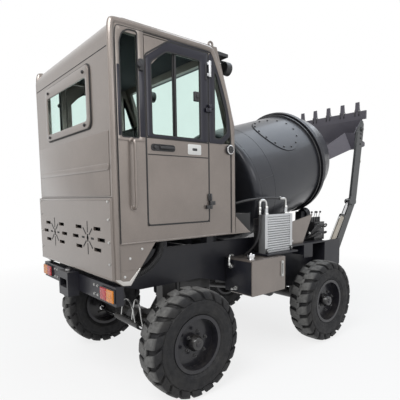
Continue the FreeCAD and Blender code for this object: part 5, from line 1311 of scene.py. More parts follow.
both_sides("gusset_trim", gusset_trim, CAB_PAINT, crease=50)
both_sides("gusset_lip", gusset_lip, LIP_PAINTED_HIGHLIGHT)
both_sides("gusset_bolts", lambda sign: bolts([(x, flank(sign, -0.004), z) for x, z in
                                               ((-1.745, 1.024), (-1.700, 1.150), (-1.600, 1.210))],
                                              (0, sign, 0), 0.009), STEEL)

# %% [markdown]
# In front of the cab the fairing is a bronze triangle, and a black plate fills the rest of its corner as
# painted shade, the dark of that corner. Both are thin plates over the CAD's fairing.

# %% Fairing triangle and its painted shade
FAIRING_FRONT = box("cab_skirts")[1].x


def fairing_triangle(sign):
    return plate(side_points(flank(sign), (cab_front + 0.001, CAB_FOOT), (FAIRING_FRONT - 0.012, CAB_FOOT),
                             (cab_front + 0.001, 1.402)), (0, sign * 0.002, 0), 0.0, 0.0008)


def fairing_painted_shade(sign):
    return plate(side_points(flank(sign), (cab_front + 0.001, 1.4305), (cab_front + 0.001, 1.403),
                             (FAIRING_FRONT - 0.011, CAB_FOOT + 0.0005),
                             (FAIRING_FRONT + 0.001, CAB_FOOT + 0.0005), (FAIRING_FRONT + 0.001, 1.425)),
                 (0, sign * 0.0012, 0), 0.0, 0.0004)


both_sides("fairing_triangle", fairing_triangle, CAB_PAINT)
# Gasket rubber as painted shade: the dark corner beside the bronze triangle.
both_sides("fairing_painted_shade", fairing_painted_shade, GASKET)

# %% [markdown]
# ### Axle plumbing
#
# Two steel pipes take oil to the steering cylinder on the rear axle. Each rises from the axle housing,
# bends over and drops on the far side. Ribbed ducts hang under the cab. A straight one could be turned
# on the lathe, but these bend, so many thin rings are set along a curve that is sampled from a smooth
# NURBS line.

# %% Rear-axle pipes
axle_back = box("rear_axle")[0].x
for count, (y0, y1) in enumerate(((-0.20, 0.08), (-0.33, -0.12))):
    lift = 0.150 + 0.03 * count
    route = [(axle_back - 0.002, y0, 0.470), (axle_back - 0.015, y0, 0.53),
             (axle_back - 0.018, y0 + 0.02, 0.47 + lift),
             (axle_back + 0.01, (y0 + y1) / 2, 0.50 + lift), (axle_back + 0.03, y1 - 0.02, 0.48 + lift),
             (axle_back + 0.02, y1, 0.55), (axle_back + 0.010, y1, 0.475)]
    pipe("steering_feed_%d_pipe" % count, route, 0.0065, STEEL)

# %% Ribbed ducts under the cab
RIB_PITCH = 0.012


def ribbed_duct(name, points, radius):
    """A corrugated duct: thin rings along a smooth curve, on a core pipe."""
    traced = smooth_curve(name, points, 10)
    places = [vert.co.copy() for vert in traced.vertices]
    bpy.data.meshes.remove(traced)
    rib = [(-0.0045, radius * 0.86), (-0.002, radius), (0.002, radius), (0.0045, radius * 0.86)]
    rings = []
    gone = 0.0
    for here, there in zip(places, places[1:]):
        step = (there - here).length
        while gone < step:
            rings.append(turned(rib, here.lerp(there, gone / step), there - here, 18))
            gone += RIB_PITCH
        gone -= step
    pipe(name + "_core", points, radius * 0.88, PIPE_RUBBER)
    return piece(name, joined(rings), PIPE_RUBBER)


for side, sign in SIDES:
    ribbed_duct("cab_duct_%s" % side,
                [(-1.35, sign * 0.62, 1.245), (-1.36, sign * 0.62, 1.16), (-1.43, sign * 0.62, 1.07),
                 (-1.53, sign * 0.60, 1.00), (-1.61, sign * 0.52, 0.97), (-1.66, sign * 0.42, 0.97)], 0.034)

# %% [markdown]
# ## Wheel centres
#
# The CAD rim is a deep dish. Real rims add a step ring where the tyre's bead sits, six studs with nuts,
# and a hub with a cap. The ring and the hub are lathe work, and the studs are one stud repeated round
# the hub. All of it rides on the wheel, so the studs turn with it.

# %% Rim rings, studs and hub caps
STUDS, STUD_CIRCLE = 6, 0.098


def rim_face(wheel):
    """How far out from the wheel's middle the disc's outer face lies, measured from the CAD rim."""
    centre = middle("rim_" + wheel)
    side = -1 if wheel.endswith("right") else 1
    near = [side * (v.co.y - centre.y) for v in nodes["rim_" + wheel].data.vertices
            if hypot(v.co.x - centre.x, v.co.z - centre.z) < 0.150]
    return centre, side, max(near)


for wheel in WHEELS:
    centre, side, face_out = rim_face(wheel)
    rim_low, rim_high = box("rim_" + wheel)
    lip_out = (rim_high.y - rim_low.y) / 2
    body = "wheel_" + wheel
    out = Vector((0, side, 0))
    ring = turned([(lip_out - 0.004, RIM_RADIUS - 0.012), (lip_out - 0.0015, RIM_RADIUS - 0.009),
                   (lip_out - 0.0015, RIM_RADIUS - 0.003),
                   (lip_out - 0.006, RIM_RADIUS - 0.0012), (lip_out - 0.010, RIM_RADIUS - 0.008),
                   (lip_out - 0.004, RIM_RADIUS - 0.012)], centre, out, 72)
    piece("rim_ring_" + wheel, ring, RIM_PAINT, body)
    face = centre + out * face_out
    studs, nuts = [], []
    for number in range(STUDS):
        angle = number * tau / STUDS + 0.35
        foot = face + Vector((cos(angle), 0, sin(angle))) * STUD_CIRCLE
        nuts.append(bar(foot, foot + out * 0.010, 0.0165, 6, 0.0015))
        nuts.append(bar(foot + out * 0.009, foot + out * 0.015, 0.0125, 6, 0.0015))
        studs.append(bar(foot + out * 0.013, foot + out * 0.026, 0.0075, 14, 0.0015))
    piece("wheel_nuts_" + wheel, joined(nuts + studs), BLACK_PAINT, body, "rim_paint")
    hub = turned([(-0.002, 0.066), (0.006, 0.064), (0.018, 0.056), (0.034, 0.052),
                  (0.040, 0.047), (0.042, 0.036), (0.040, 0.0)], face, out, 40)
    piece("hub_cap_" + wheel, hub, BLACK_PAINT, body)
    cap = turned([(0.038, 0.024), (0.046, 0.023), (0.050, 0.018), (0.052, 0.0)], face, out, 32)
    piece("hub_cap_centre_" + wheel, cap, RIM_PAINT, body)
print("rim disc lies", round(rim_face("rear_right")[2], 3), "out from the wheel's middle")

# %% [markdown]
# ## The drum
#
# The drum is rolled from plates and welded. Each weld is a small raised bead that runs round the drum
# or along it. A lathe makes the round ones: their profile is a little bump on the drum's own wall. To
# know the wall's radius at a place along the drum's axis, a helper looks it up in the CAD mesh.

# %% Measure the drum's wall
def drum_reach(point):
    """Where a point lies along the drum's axis, and how far off it."""
    offset = Vector(point) - drum_centre
    reach = offset.dot(drum_axis)
    return reach, (offset - drum_axis * reach).length


drum_wall = [drum_reach(vert.co) for vert in nodes["drum_shell"].data.vertices]
DRUM_UP = Vector((-drum_axis.z, 0, drum_axis.x))


def drum_way(angle):
    """The way off the drum's axis at an angle, measured from straight up towards the left side."""
    return DRUM_UP * cos(angle) + LEFT * sin(angle)


def wall_radius(reach):
    """The drum's outer radius at a place along its axis: between the nearest points on both sides."""
    behind = max((r, radius) for r, radius in drum_wall if r <= reach + 1e-6)[0]
    ahead = min((r, radius) for r, radius in drum_wall if r >= reach - 1e-6)[0]
    low = max(radius for r, radius in drum_wall if abs(r - behind) < 0.002)
    high = max(radius for r, radius in drum_wall if abs(r - ahead) < 0.002)
    if ahead - behind < 1e-6:
        return max(low, high)
    return low + (high - low) * (reach - behind) / (ahead - behind)


def around_drum(reach, angle, off):
    """A point a little off the drum's wall."""
    return drum_centre + drum_axis * reach + drum_way(angle) * (wall_radius(reach) + off)


print("wall radius", [round(wall_radius(-0.1 * step), 4) for step in range(1, 12)])

# %% [markdown]
# ### Welds and ring edges
#
# Three round welds join the drum's plates, and two straight ones close them. The rolling ring has a
# dark coat on its shoulders, and only its middle, where the rollers run, is worn bright. Bands turned
# on the lathe lie over the ring's edges to show that.

# %% Welds
def round_weld(reach):
    """A raised bead round the drum."""
    radius, height, half = wall_radius(reach) - 0.0006, 0.0022, 0.0045
    return turned([(reach - half, radius - 0.001), (reach - half * 0.5, radius + height * 0.8),
                   (reach, radius + height), (reach + half * 0.5, radius + height * 0.8),
                   (reach + half, radius - 0.001), (reach - half, radius - 0.001)],
                  drum_centre, drum_axis, 128)


def straight_weld(start, end, angle):
    points = [around_drum(start + (end - start) * step / 6, angle, -0.0004) for step in range(7)]
    return joined([bar(a, b, 0.0034, 8) for a, b in zip(points, points[1:])])


piece("drum_welds", joined([round_weld(-0.900), round_weld(-1.115), round_weld(-0.075),
                            straight_weld(-1.115, -0.900, -1.47), straight_weld(-0.900, -0.075, 2.3)]),
      DRUM_PAINT, "drum")

# %% Ring shoulders
ring_reaches = [drum_reach(vert.co) for vert in nodes["drum_ring"].data.vertices]
ring_back, ring_front = min(r for r, _ in ring_reaches), max(r for r, _ in ring_reaches)
ring_out = max(radius for _, radius in ring_reaches)


def ring_band(start, end):
    return turned([(start, ring_out - 0.016), (start, ring_out - 0.0005),
                   (start + 0.0015, ring_out - 0.0001), (end - 0.0015, ring_out - 0.0001),
                   (end, ring_out - 0.0005), (end, ring_out - 0.016),
                   (start, ring_out - 0.016)], drum_centre, drum_axis, 128)


shoulder = 0.0125
piece("drum_ring_shoulders", joined([ring_band(ring_back - 0.001, ring_back + shoulder),
                                     ring_band(ring_front - shoulder, ring_front + 0.001)]),
      BLACK_PAINT, "drum", "ring_steel")
collar_back = ring_back - 0.034
collar_foot = wall_radius(collar_back) - 0.002
collar = turned([(collar_back, collar_foot), (collar_back + 0.002, ring_out - 0.020),
                 (collar_back + 0.014, ring_out - 0.018), (collar_back + 0.016, collar_foot),
                 (collar_back, collar_foot)], drum_centre, drum_axis, 128)
piece("drum_ring_collar", collar, BLACK_PAINT, "drum", "ring_steel")

# %% [markdown]
# ### Hatch
#
# The inspection hatch is a round plate bolted over a hole in the drum's flank, with a rubber gasket
# under it. Its bolts stand on a circle, but the plate is curved, so each bolt is first placed on the
# circle as if the plate were flat, then put on the drum's round wall and tilted to match it.

# %% Hatch bolts and gasket
hatch_reaches = [drum_reach(vert.co) for vert in nodes["drum_hatch"].data.vertices]
hatch_middle = (min(r for r, _ in hatch_reaches) + max(r for r, _ in hatch_reaches)) / 2
hatch_radius = (max(r for r, _ in hatch_reaches) - min(r for r, _ in hatch_reaches)) / 2
hatch_top = max(radius for _, radius in hatch_reaches)
hatch_way = middle("drum_hatch") - drum_centre
hatch_angle = atan2(hatch_way.y, hatch_way.dot(DRUM_UP))


def on_hatch(radius, turn, lift):
    """A point a lift over the drum's wall, placed from the hatch's centre, and the way outwards there."""
    forward, across = radius * cos(turn), radius * sin(turn)
    angle = hatch_angle + asin(across / hatch_top)
    radial = drum_way(angle)
    point = drum_centre + drum_axis * (hatch_middle + forward)
    return point + radial * (wall_radius(drum_reach(point)[0]) + lift), radial


HATCH_BOLTS = 14
heads = []
for number in range(HATCH_BOLTS):
    foot, radial = on_hatch(hatch_radius - 0.024, (number + 0.5) * tau / HATCH_BOLTS, 0.0075)
    heads.append(bolt(foot, radial, 0.0105))
piece("hatch_bolts", joined(heads), BLACK_PAINT, "drum")
gasket_route = [on_hatch(hatch_radius + 0.001, step * tau / 72, 0.0022)[0] for step in range(73)]
gasket = joined([bar(a, b, 0.0042, 8) for a, b in zip(gasket_route, gasket_route[1:])])
piece("hatch_gasket", gasket, GASKET, "drum")

# %% [markdown]
# ### Gearbox, rollers and stand
#
# The drum is driven by a gearbox bolted to its rear end, and rests on two rollers at the front. A
# flange with its bolts and the rollers' hub caps are what the CAD lacks.

# %% Gearbox flange and rollers' caps
flange_at = drum_centre + drum_axis * (min(r for r, _ in drum_wall) - 0.004)
flange = turned([(-0.012, 0.0), (-0.012, 0.150), (-0.006, 0.156), (0.004, 0.156),
                 (0.008, 0.150), (0.008, 0.0)], flange_at, drum_axis, 56)
flange_bolts = []
for number in range(10):
    radial = drum_way(number * tau / 10)
    flange_bolts.append(bolt(flange_at + radial * 0.134 - drum_axis * 0.010, -drum_axis, 0.0125))
piece("drum_drive_flange", flange, CASTING, "drum")
piece("drum_drive_bolts", joined(flange_bolts), STEEL, "drum")
for side, sign in SIDES:
    spin_at, spin_way = joint_at["roller_%s_turn" % side], joint_axis["roller_%s_turn" % side].normalized()
    reaches = [(vert.co - spin_at).dot(spin_way) for vert in nodes["roller_" + side].data.vertices]
    caps = [turned([(0.0, 0.030), (0.003, 0.030), (0.006, 0.024), (0.006, 0.0)], spin_at + spin_way * reach,
                   way, 28) for reach, way in ((max(reaches), spin_way), (min(reaches), -spin_way))]
    piece("roller_caps_" + side, joined(caps), STEEL, "roller_" + side)

# %% [markdown]
# ## Oil cooler and tanks
#
# The oil cooler is a stack of bright fins between two end tanks. The CAD has the stack. What it lacks
# is the row of thin waves between the fins, the dark shroud behind it, the plated elbows with their
# nuts, and the clamps at its foot. The waves are one zigzag strip, repeated up the stack.

# %% Cooler shroud and foot clamps
cooler_low, cooler_high = box("oil_cooler")
shelf_top = box("side_shelves")[1].z
stack_top = cooler_high.z - 0.060
shroud_low = Vector((cooler_low.x + 0.012, cooler_high.y + 0.001, shelf_top))
shroud_high = Vector((cooler_high.x - 0.012, cooler_high.y + 0.082, stack_top - 0.035))
shroud = [block(shroud_low, shroud_high, 0.012, 3)]
for z in (shelf_top + 0.07, (shelf_top + stack_top) / 2, stack_top - 0.10):
    shroud.append(block((shroud_low.x - 0.003, shroud_low.y + 0.008, z),
                        (shroud_low.x + 0.004, shroud_high.y - 0.010, z + 0.010), 0.002))
piece("cooler_shroud", joined(shroud), BLACK_PAINT)
piece("cooler_foot_clamps",
      joined([block((x, cooler_low.y - 0.010, shelf_top),
                    (x + 0.030, cooler_low.y + 0.010, shelf_top + 0.046), 0.003)
              for x in (cooler_low.x + 0.006, cooler_high.x - 0.036)]), BLACK_PAINT)
piece("cooler_foot_bolts", bolts([(x, cooler_low.y - 0.010, shelf_top + 0.030) for x in
                                  (cooler_low.x + 0.021, cooler_high.x - 0.021)], (0, -1, 0), 0.007),
      STEEL)

# %% Waves between the fins
wave_count, wave_rows = 36, 15
wave_left, wave_right = cooler_low.x + 0.040, cooler_high.x - 0.040
wave_pitch = (stack_top - shelf_top) / 16
zigzag = bmesh.new()
for row in range(wave_rows):
    foot_z = shelf_top + wave_pitch * (row + 0.60)
    peaks = []
    for step in range(wave_count * 2 + 1):
        x = wave_left + (wave_right - wave_left) * step / (wave_count * 2)
        z = foot_z + (0.0105 if step % 2 else 0.0)
        peaks.append((zigzag.verts.new((x, cooler_low.y + 0.004, z)),
                      zigzag.verts.new((x, cooler_low.y + 0.030, z))))
    for (a, b), (c, d) in zip(peaks, peaks[1:]):
        zigzag.faces.new((a, c, d, b))
bmesh.ops.recalc_face_normals(zigzag, faces=zigzag.faces)
bmesh.ops.solidify(zigzag, geom=zigzag.faces[:], thickness=0.0012)
piece("cooler_waves", zigzag, ALUMINIUM)

# %% [markdown]
# The elbows start as nuts on the cooler's stubs. A pipe of plated steel bends over from each, and a
# black rubber line takes over after a second nut. Lines that are clamped at both ends keep their shape,
# so they are plain pipes here and not loose cords.

# %% Elbows and lines
stub_y = (cooler_low.y + cooler_high.y) / 2
stub_front, stub_back = cooler_high.x - 0.060, cooler_low.x + 0.060
feed_x = stub_back - 0.094


def nut(place, direction, size, length):
    start = Vector(place)
    return bar(start, start + Vector(direction).normalized() * length, size, 6, size * 0.12)


fittings = [nut((x, stub_y, cooler_high.z - 0.003), (0, 0, 1), 0.021, 0.024)
            for x in (stub_back, stub_front)]
fittings += [nut((x, stub_y, stack_top - 0.002), (0, 0, 1), 0.027, 0.016) for x in (stub_back, stub_front)]
fittings.append(nut((stub_front - 0.070, stub_y, 1.548), (-1, 0, 0.06), 0.019, 0.026))
fittings.append(nut((feed_x, stub_y, 1.470), (0, 0, -1), 0.019, 0.026))
fittings.append(nut((feed_x, stub_y, 1.440), (0, 0, -1), 0.016, 0.040))
piece("cooler_nuts", joined(fittings), STEEL)
pipe("cooler_front_elbow_pipe",
     [(stub_front, stub_y, 1.452), (stub_front, stub_y, 1.500), (stub_front - 0.004, stub_y, 1.545),
      (stub_front - 0.040, stub_y, 1.548), (stub_front - 0.075, stub_y, 1.548)], 0.0125, STEEL)
pipe("cooler_rear_elbow_pipe",
     [(stub_back, stub_y, 1.452), (stub_back, stub_y, 1.490), (stub_back - 0.010, stub_y, 1.528),
      (stub_back - 0.047, stub_y, 1.538), (stub_back - 0.086, stub_y, 1.528),
      (feed_x, stub_y, 1.490), (feed_x, stub_y, 1.445)], 0.0125, STEEL)
pipe("cooler_return_pipe",
     [(stub_front - 0.090, stub_y, 1.549), (stub_front - 0.20, stub_y + 0.005, 1.556),
      (stub_front - 0.36, stub_y + 0.02, 1.552), (-0.42, stub_y + 0.06, 1.535),
      (-0.540, stub_y + 0.12, 1.500), (-0.600, stub_y + 0.22, 1.440),
      (-0.600, stub_y + 0.30, 1.340)], 0.0115, PIPE_RUBBER)
pipe("cooler_feed_pipe", [(feed_x, stub_y, 1.405), (feed_x, stub_y, 1.30),
                          (feed_x, stub_y + 0.02, 1.16), (stub_back - 0.12, stub_y + 0.08, 1.06),
                          (stub_back - 0.16, stub_y + 0.14, 1.00)], 0.0115, PIPE_RUBBER)

# %% [markdown]
# ### Tanks
#
# Each tank is a folded box with a welded lid. The filler cap stands on a chrome neck, a level gauge
# with a bright frame hangs on the outer face, and plated elbows leave the rear end. A thin end plate in
# the frame's dark enamel is laid over each of the tank's ends as painted shade.

# %% Tank trim
tank_low, tank_high = box("tank_right")
TANK_FACE = abs(tank_low.y)
TANK_INSIDE = 0.505
GAUGE_X = tank_high.x - 0.052
UPPER_ELBOW_Y, LOWER_ELBOW_Y = 0.60, 0.66


def tank_end_painted_shade(sign):
    ends = []
    for x, depth in ((tank_low.x, -0.0025), (tank_high.x, 0.0025)):
        low_y, high_y = sorted((sign * (TANK_FACE - 0.010), sign * TANK_INSIDE))
        ends.append(plate(rectangle_yz(x, low_y, high_y, tank_low.z + 0.010,
                                       tank_high.z - 0.010), (depth, 0, 0), 0.006, 0.001))
    return joined(ends)


def tank_lid(sign):
    low_y, high_y = sorted((sign * (TANK_FACE - 0.006), sign * (TANK_INSIDE + 0.005)))
    return block((tank_low.x + 0.006, low_y, tank_high.z),
                 (tank_high.x - 0.006, high_y, tank_high.z + 0.003), 0.0012)


def filler_cap(sign):
    spot = (tank_low.x + 0.075, sign * 0.765, tank_high.z + 0.002)
    return turned([(0.0, 0.038), (0.006, 0.038), (0.008, 0.030), (0.022, 0.028),
                   (0.024, 0.037), (0.046, 0.037), (0.050, 0.033), (0.052, 0.012),
                   (0.058, 0.010), (0.059, 0.0)], spot, (0, 0, 1), 36)


def level_gauge(sign):
    rim = holed(rectangle_xz(sign * TANK_FACE, GAUGE_X - 0.016, GAUGE_X + 0.016, 0.812, 0.962),
                rectangle_xz(sign * TANK_FACE, GAUGE_X - 0.007, GAUGE_X + 0.007, 0.835, 0.940),
                (0, sign * 0.012, 0), 0.008, 0.006, 0.002)
    return joined([rim] + [bolt((GAUGE_X, sign * (TANK_FACE + 0.011), z), (0, sign, 0))
                           for z in (0.823, 0.951)])


def gauge_glass(sign):
    y = sign * (TANK_FACE + 0.005)
    return bar((GAUGE_X, y, 0.832), (GAUGE_X, y, 0.943), 0.006, 14, 0.001)


def tank_elbow_nuts(sign):
    parts = []
    for y, z in ((UPPER_ELBOW_Y, 0.930), (LOWER_ELBOW_Y, 0.735)):
        parts.append(nut((tank_low.x + 0.001, sign * y, z), (-1, 0, 0), 0.021, 0.022))
        parts.append(bar((tank_low.x - 0.018, sign * y, z),
                         (tank_low.x - 0.044, sign * y, z), 0.0125, 20, 0.002))
    parts.append(nut((tank_low.x - 0.040, sign * UPPER_ELBOW_Y, 0.940), (0, 0, 1), 0.017, 0.024))
    y = sign * LOWER_ELBOW_Y
    parts.append(block((tank_low.x - 0.075, y - 0.010, 0.726),
                       (tank_low.x - 0.030, y + 0.010, 0.744), 0.004))
    return joined(parts)


# Chassis enamel laid on the tank's ends as painted shade.
both_sides("tank_end_painted_shade", tank_end_painted_shade, CHASSIS_PAINT)
both_sides("tank_lid", tank_lid, CAB_PAINT)
both_sides("tank_filler_cap", filler_cap, CHROME)
both_sides("tank_level_gauge", level_gauge, STEEL)
both_sides("tank_gauge_glass", gauge_glass, CLEAR_LENS)
both_sides("tank_elbow_nuts", tank_elbow_nuts, STEEL)
for side, sign in SIDES:
    pipe("tank_suction_%s_pipe" % side,
         [(tank_low.x - 0.040, sign * UPPER_ELBOW_Y, 0.955),
          (tank_low.x - 0.042, sign * UPPER_ELBOW_Y, 1.000),
          (tank_low.x - 0.020, sign * 0.585, 1.030), (tank_low.x + 0.010, sign * 0.575, 1.030),
          (tank_low.x + 0.040, sign * 0.570, 1.022)], 0.0105, STEEL)

# %% [markdown]
# ### Side panel
#
# The slanted side panel in front of the cooler is held by two bolts.

# %% Panel bolts
panel_low = box("front_panel")[0]
piece("front_panel_bolts",
      bolts([(panel_low.x + 0.045, panel_low.y, panel_low.z + 0.040),
             (panel_low.x + 0.360, panel_low.y, panel_low.z + 0.10)], (0, -1, 0), 0.013), STEEL)

# %% [markdown]
# ## Loader
#
# The loader's pivots are where the eye goes first. Each pin has a keeper plate with a bolt, and each
# cylinder has a gland ring, a steel pipe along its barrel and two ports. The pins are placed on the
# joints' own lines, so they stay in their holes when the arms lift.

# %% Pins
boom_at, tilt_at = joint_at["boom_lift"], joint_at["bucket_tilt"]
ARM_OUT = 0.630
CAP_THICKNESS = 0.012


def pin_cap(joint, sign, radius):
    """A keeper plate with a bolt and the pin's round end, on the outer face of an arm."""
    place = Vector((joint.x, sign * ARM_OUT, joint.z))
    out = Vector((0, sign, 0))
    disc = bar(place, place + out * CAP_THICKNESS, radius, 32, 0.002)
    end = bar(place + out * (CAP_THICKNESS - 0.001), place + out * (CAP_THICKNESS + 0.004),
              radius * 0.55, 24, 0.0015)
    keeper = place + out * (CAP_THICKNESS - 0.0005) + Vector((radius * 0.72, 0, 0))
    return joined([disc, end, bolt(keeper, out, radius * 0.16)])


both_sides("boom_pin_cap", lambda sign: pin_cap(boom_at, sign, 0.046), BLACK_PAINT, body="loader")
both_sides("bucket_pin_cap", lambda sign: pin_cap(tilt_at, sign, 0.030), BLACK_PAINT, body="loader")


# %% Bolts on the arms
def arm_bolts(sign):
    feet = [(tilt_at.x - behind, sign * ARM_OUT, tilt_at.z - below)
            for behind, below in ((0.020, 0.115), (0.028, 0.185), (0.012, 0.060))]
    return bolts(feet, (0, sign, 0), 0.011)


both_sides("arm_bolts", arm_bolts, BLACK_PAINT, body="loader")

# %% [markdown]
# ### Cylinders
#
# A helper finds a cylinder's own line: the barrel's pivot from its joint, its direction from the
# sliding joint of its rod, and its sideways place and its end from the CAD mesh. Every trim piece is
# then given as a distance along that line.

# %% A cylinder's line
def cylinder_line(kind, side_sign):
    """The start, the direction and the length of a barrel on one side."""
    spots = [vert.co for vert in nodes[kind + "_barrels"].data.vertices if vert.co.y * side_sign > 0]
    aside = (min(spot.y for spot in spots) + max(spot.y for spot in spots)) / 2
    start = joint_at[kind + "_barrel_swing"].copy()
    start.y = aside
    way = joint_axis[kind + "_rod_slide"].normalized()
    length = max((spot - start).dot(way) for spot in spots)
    return start, way, length


def cylinder_trim(kind, radius):
    """Gland ring, port bosses and steel pipe of both cylinders of a kind."""
    rings, ports = [], []
    for side, sign in SIDES:
        start, way, length = cylinder_line(kind, sign)
        rings.append(turned([(-0.030, radius), (-0.030, radius + 0.0045), (-0.026, radius + 0.006),
                             (-0.004, radius + 0.006), (0.0, radius + 0.003), (0.001, radius - 0.004),
                             (-0.030, radius - 0.004), (-0.030, radius)], start + way * length, way, 40))
        rings.append(turned([(0.0, radius), (0.002, radius + 0.003), (0.010, radius + 0.003),
                             (0.012, radius), (0.0, radius)], start + way * 0.085, way, 40))
        over = Vector((-way.z, 0, way.x))
        for reach in (0.115, length - 0.060):
            foot = start + way * reach + over * (radius - 0.003)
            ports.append(bar(foot, foot + over * 0.020, 0.0125, 20, 0.002))
            ports.append(nut(foot + over * 0.012, over, 0.0115, 0.014))
        line = over * (radius + 0.026)
        pipe("%s_barrel_%s_pipe" % (kind, side),
             [start + way * (length - 0.060) + over * (radius + 0.018),
              start + way * (length - 0.064) + line, start + way * (length - 0.09) + line,
              start + way * (length * 0.5) + line, start + way * 0.175 + line,
              start + way * 0.150 + line + over * 0.004], 0.0060, STEEL, kind + "_barrels")
    piece(kind + "_gland_rings", joined(rings), BLACK_PAINT if kind == "lift" else CREAM_PAINT,
          kind + "_barrels", "cylinder_paint")
    piece(kind + "_port_nuts", joined(ports), STEEL, kind + "_barrels")


cylinder_trim("lift", 0.031)
cylinder_trim("tilt", 0.027)

# %% [markdown]
# ### Bucket
#
# A loading bucket is worn by gravel, so its teeth can be changed: each is a point slipped over a welded
# shank and held by a cross pin. The sizes come from the box of the CAD teeth, which already stand in the
# right places, and the gaps between their vertices tell the teeth apart.

# %% Tooth shanks and pins
tooth_low, tooth_high = box("bucket_teeth")
tooth_places = []
for vert in sorted(nodes["bucket_teeth"].data.vertices, key=lambda v: v.co.y):
    if not tooth_places or vert.co.y - tooth_places[-1][-1] > 0.05:
        tooth_places.append([vert.co.y])
    else:
        tooth_places[-1].append(vert.co.y)
tooth_middles = [(min(group_y) + max(group_y)) / 2 for group_y in tooth_places]
tooth_half = (max(tooth_places[0]) - min(tooth_places[0])) / 2
print("teeth at", [round(y, 3) for y in tooth_middles], "half width", round(tooth_half, 3))
edge_z = box("bucket_shell")[1].z
shanks, tooth_pins = [], []
for y in tooth_middles:
    shanks.append(block((tooth_low.x - 0.006, y - tooth_half - 0.006, edge_z - 0.058),
                        (tooth_high.x + 0.006, y + tooth_half + 0.006, edge_z + 0.022), 0.005))
    tooth_pins.append(bar((tooth_low.x + 0.010, y - tooth_half - 0.008, edge_z + 0.006),
                          (tooth_low.x + 0.010, y + tooth_half + 0.008, edge_z + 0.006), 0.006, 14, 0.001))
piece("bucket_tooth_shanks", joined(shanks), BLACK_PAINT, "bucket", "arm_paint")
piece("bucket_tooth_pins", joined(tooth_pins), STEEL, "bucket")

# %% [markdown]
# ### Valves, levers and steel lines
#
# Four spool valves sit on the front deck. Each cap carries a lever with a black knob, and two bent lines
# run from each valve down to the frame. One loop bends them all the same way and puts a nut at the
# valve's end.

# %% Valve levers and lines
valve_low, valve_high = box("valve_block")
spacing = (valve_high.x - valve_low.x) / 4
valve_y = (valve_low.y + valve_high.y) / 2
levers, knobs, valve_nuts = [], [], []
for number in range(4):
    x = valve_low.x + spacing * (number + 0.5)
    lean = 0.018 * (number % 2) - 0.009
    levers.append(bar((x, valve_y, valve_high.z - 0.004),
                      (x + lean, valve_y - 0.010, valve_high.z + 0.050), 0.0045, 12))
    knobs.append(turned([(0.0, 0.0), (0.003, 0.009), (0.012, 0.0125), (0.022, 0.009), (0.026, 0.0)],
                        (x + lean, valve_y - 0.010, valve_high.z + 0.046), (lean, -0.01, 0.05), 20))
    for y, height, way in ((valve_low.y + 0.002, 0.150, -1), (valve_low.y + 0.002, 0.075, -1),
                           (valve_high.y - 0.002, 0.120, 1)):
        valve_nuts.append(nut((x, y, valve_low.z + height), (0, way, 0), 0.016, 0.020))
    for row, (height, sag) in enumerate(((0.150, 0.035), (0.075, 0.020))):
        y = valve_low.y - 0.020
        back_x = x - 0.10 - 0.030 * number
        pipe("valve_line_%d_%d_pipe" % (number, row),
             [(x, y, valve_low.z + height), (x, y - 0.018, valve_low.z + height),
              (x - 0.006, y - 0.034, valve_low.z + height + sag),
              (x - 0.05, y - 0.034 + 0.004 * row, valve_low.z + height + sag),
              (back_x, y - 0.016, valve_low.z + height - 0.02),
              (back_x - 0.04, y + 0.035, valve_low.z + 0.03),
              (back_x - 0.045, y + 0.070, valve_low.z + 0.004)], 0.0085, PIPE_RUBBER)
piece("valve_levers", joined(levers), STEEL)
piece("valve_lever_knobs", joined(knobs), BLACK_PLASTIC)
piece("valve_nuts", joined(valve_nuts), STEEL)

# %% [markdown]
# ## Inside the cab
#
# The cab's big panes show the driver's seat and controls. The seat is the one soft thing on this
# machine: a padded cushion and a padded back on a ribbed stand. Foam under a tight cover bulges between
# its seams, and that bulge is hard to draw by hand. Blender's cloth simulation makes it: a plain block
# is remeshed finely, blown up a little like a balloon, and the result is kept as the mesh.

# %% Blow up a cushion
SEAT_FABRIC = finish("seat_cover_weave", (0.016, 0.016, 0.018), roughness=0.85,
                     peel=1.0, dust=0.05, dust_height=2.4, edge=0.001)
MOST_SWELL, AIR_PRESSURE, CLOTH_GRAIN, CLOTH_FRAMES = 0.014, 4.0, 0.006, 20


def cushion(name, shape):
    """A padded piece made from a plain block by the cloth simulation, with its seams added after."""
    mesh = bpy.data.meshes.new(name)
    shape.to_mesh(mesh)
    shape.free()
    made = bpy.data.objects.new(name, mesh)
    bpy.context.collection.objects.link(made)
    remesh = made.modifiers.new("remesh", "REMESH")
    remesh.mode = "VOXEL"
    remesh.voxel_size = CLOTH_GRAIN
    graph = bpy.context.evaluated_depsgraph_get()
    made.data = bpy.data.meshes.new_from_object(made.evaluated_get(graph))
    made.modifiers.clear()
    before = [vert.co.copy() for vert in made.data.vertices]
    cloth = made.modifiers.new("cloth", "CLOTH")
    cloth.settings.use_pressure = True
    cloth.settings.uniform_pressure_force = AIR_PRESSURE
    cloth.settings.effector_weights.gravity = 0.0
    cloth.settings.quality = 5
    cloth.point_cache.frame_start, cloth.point_cache.frame_end = 1, CLOTH_FRAMES
    for number in range(1, CLOTH_FRAMES + 1):
        bpy.context.scene.frame_set(number)
    graph = bpy.context.evaluated_depsgraph_get()
    made.data = bpy.data.meshes.new_from_object(made.evaluated_get(graph))
    made.modifiers.clear()
    bpy.context.scene.frame_set(1)
    for vert, start in zip(made.data.vertices, before):
        moved = vert.co - start
        if moved.length > MOST_SWELL:
            vert.co = start + moved * (MOST_SWELL / moved.length)
    print(name, "moved at most",
          round(max((v.co - s).length for v, s in zip(made.data.vertices, before)), 4))
    made.data.name = name
    made.data.shade_smooth()
    made.data.materials.clear()
    made.data.materials.append(SEAT_FABRIC)
    smooth = made.modifiers.new("smooth", "SUBSURF")
    smooth.levels = smooth.render_levels = 1
    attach(made, "chassis")
    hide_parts("driver_seat")
    return made


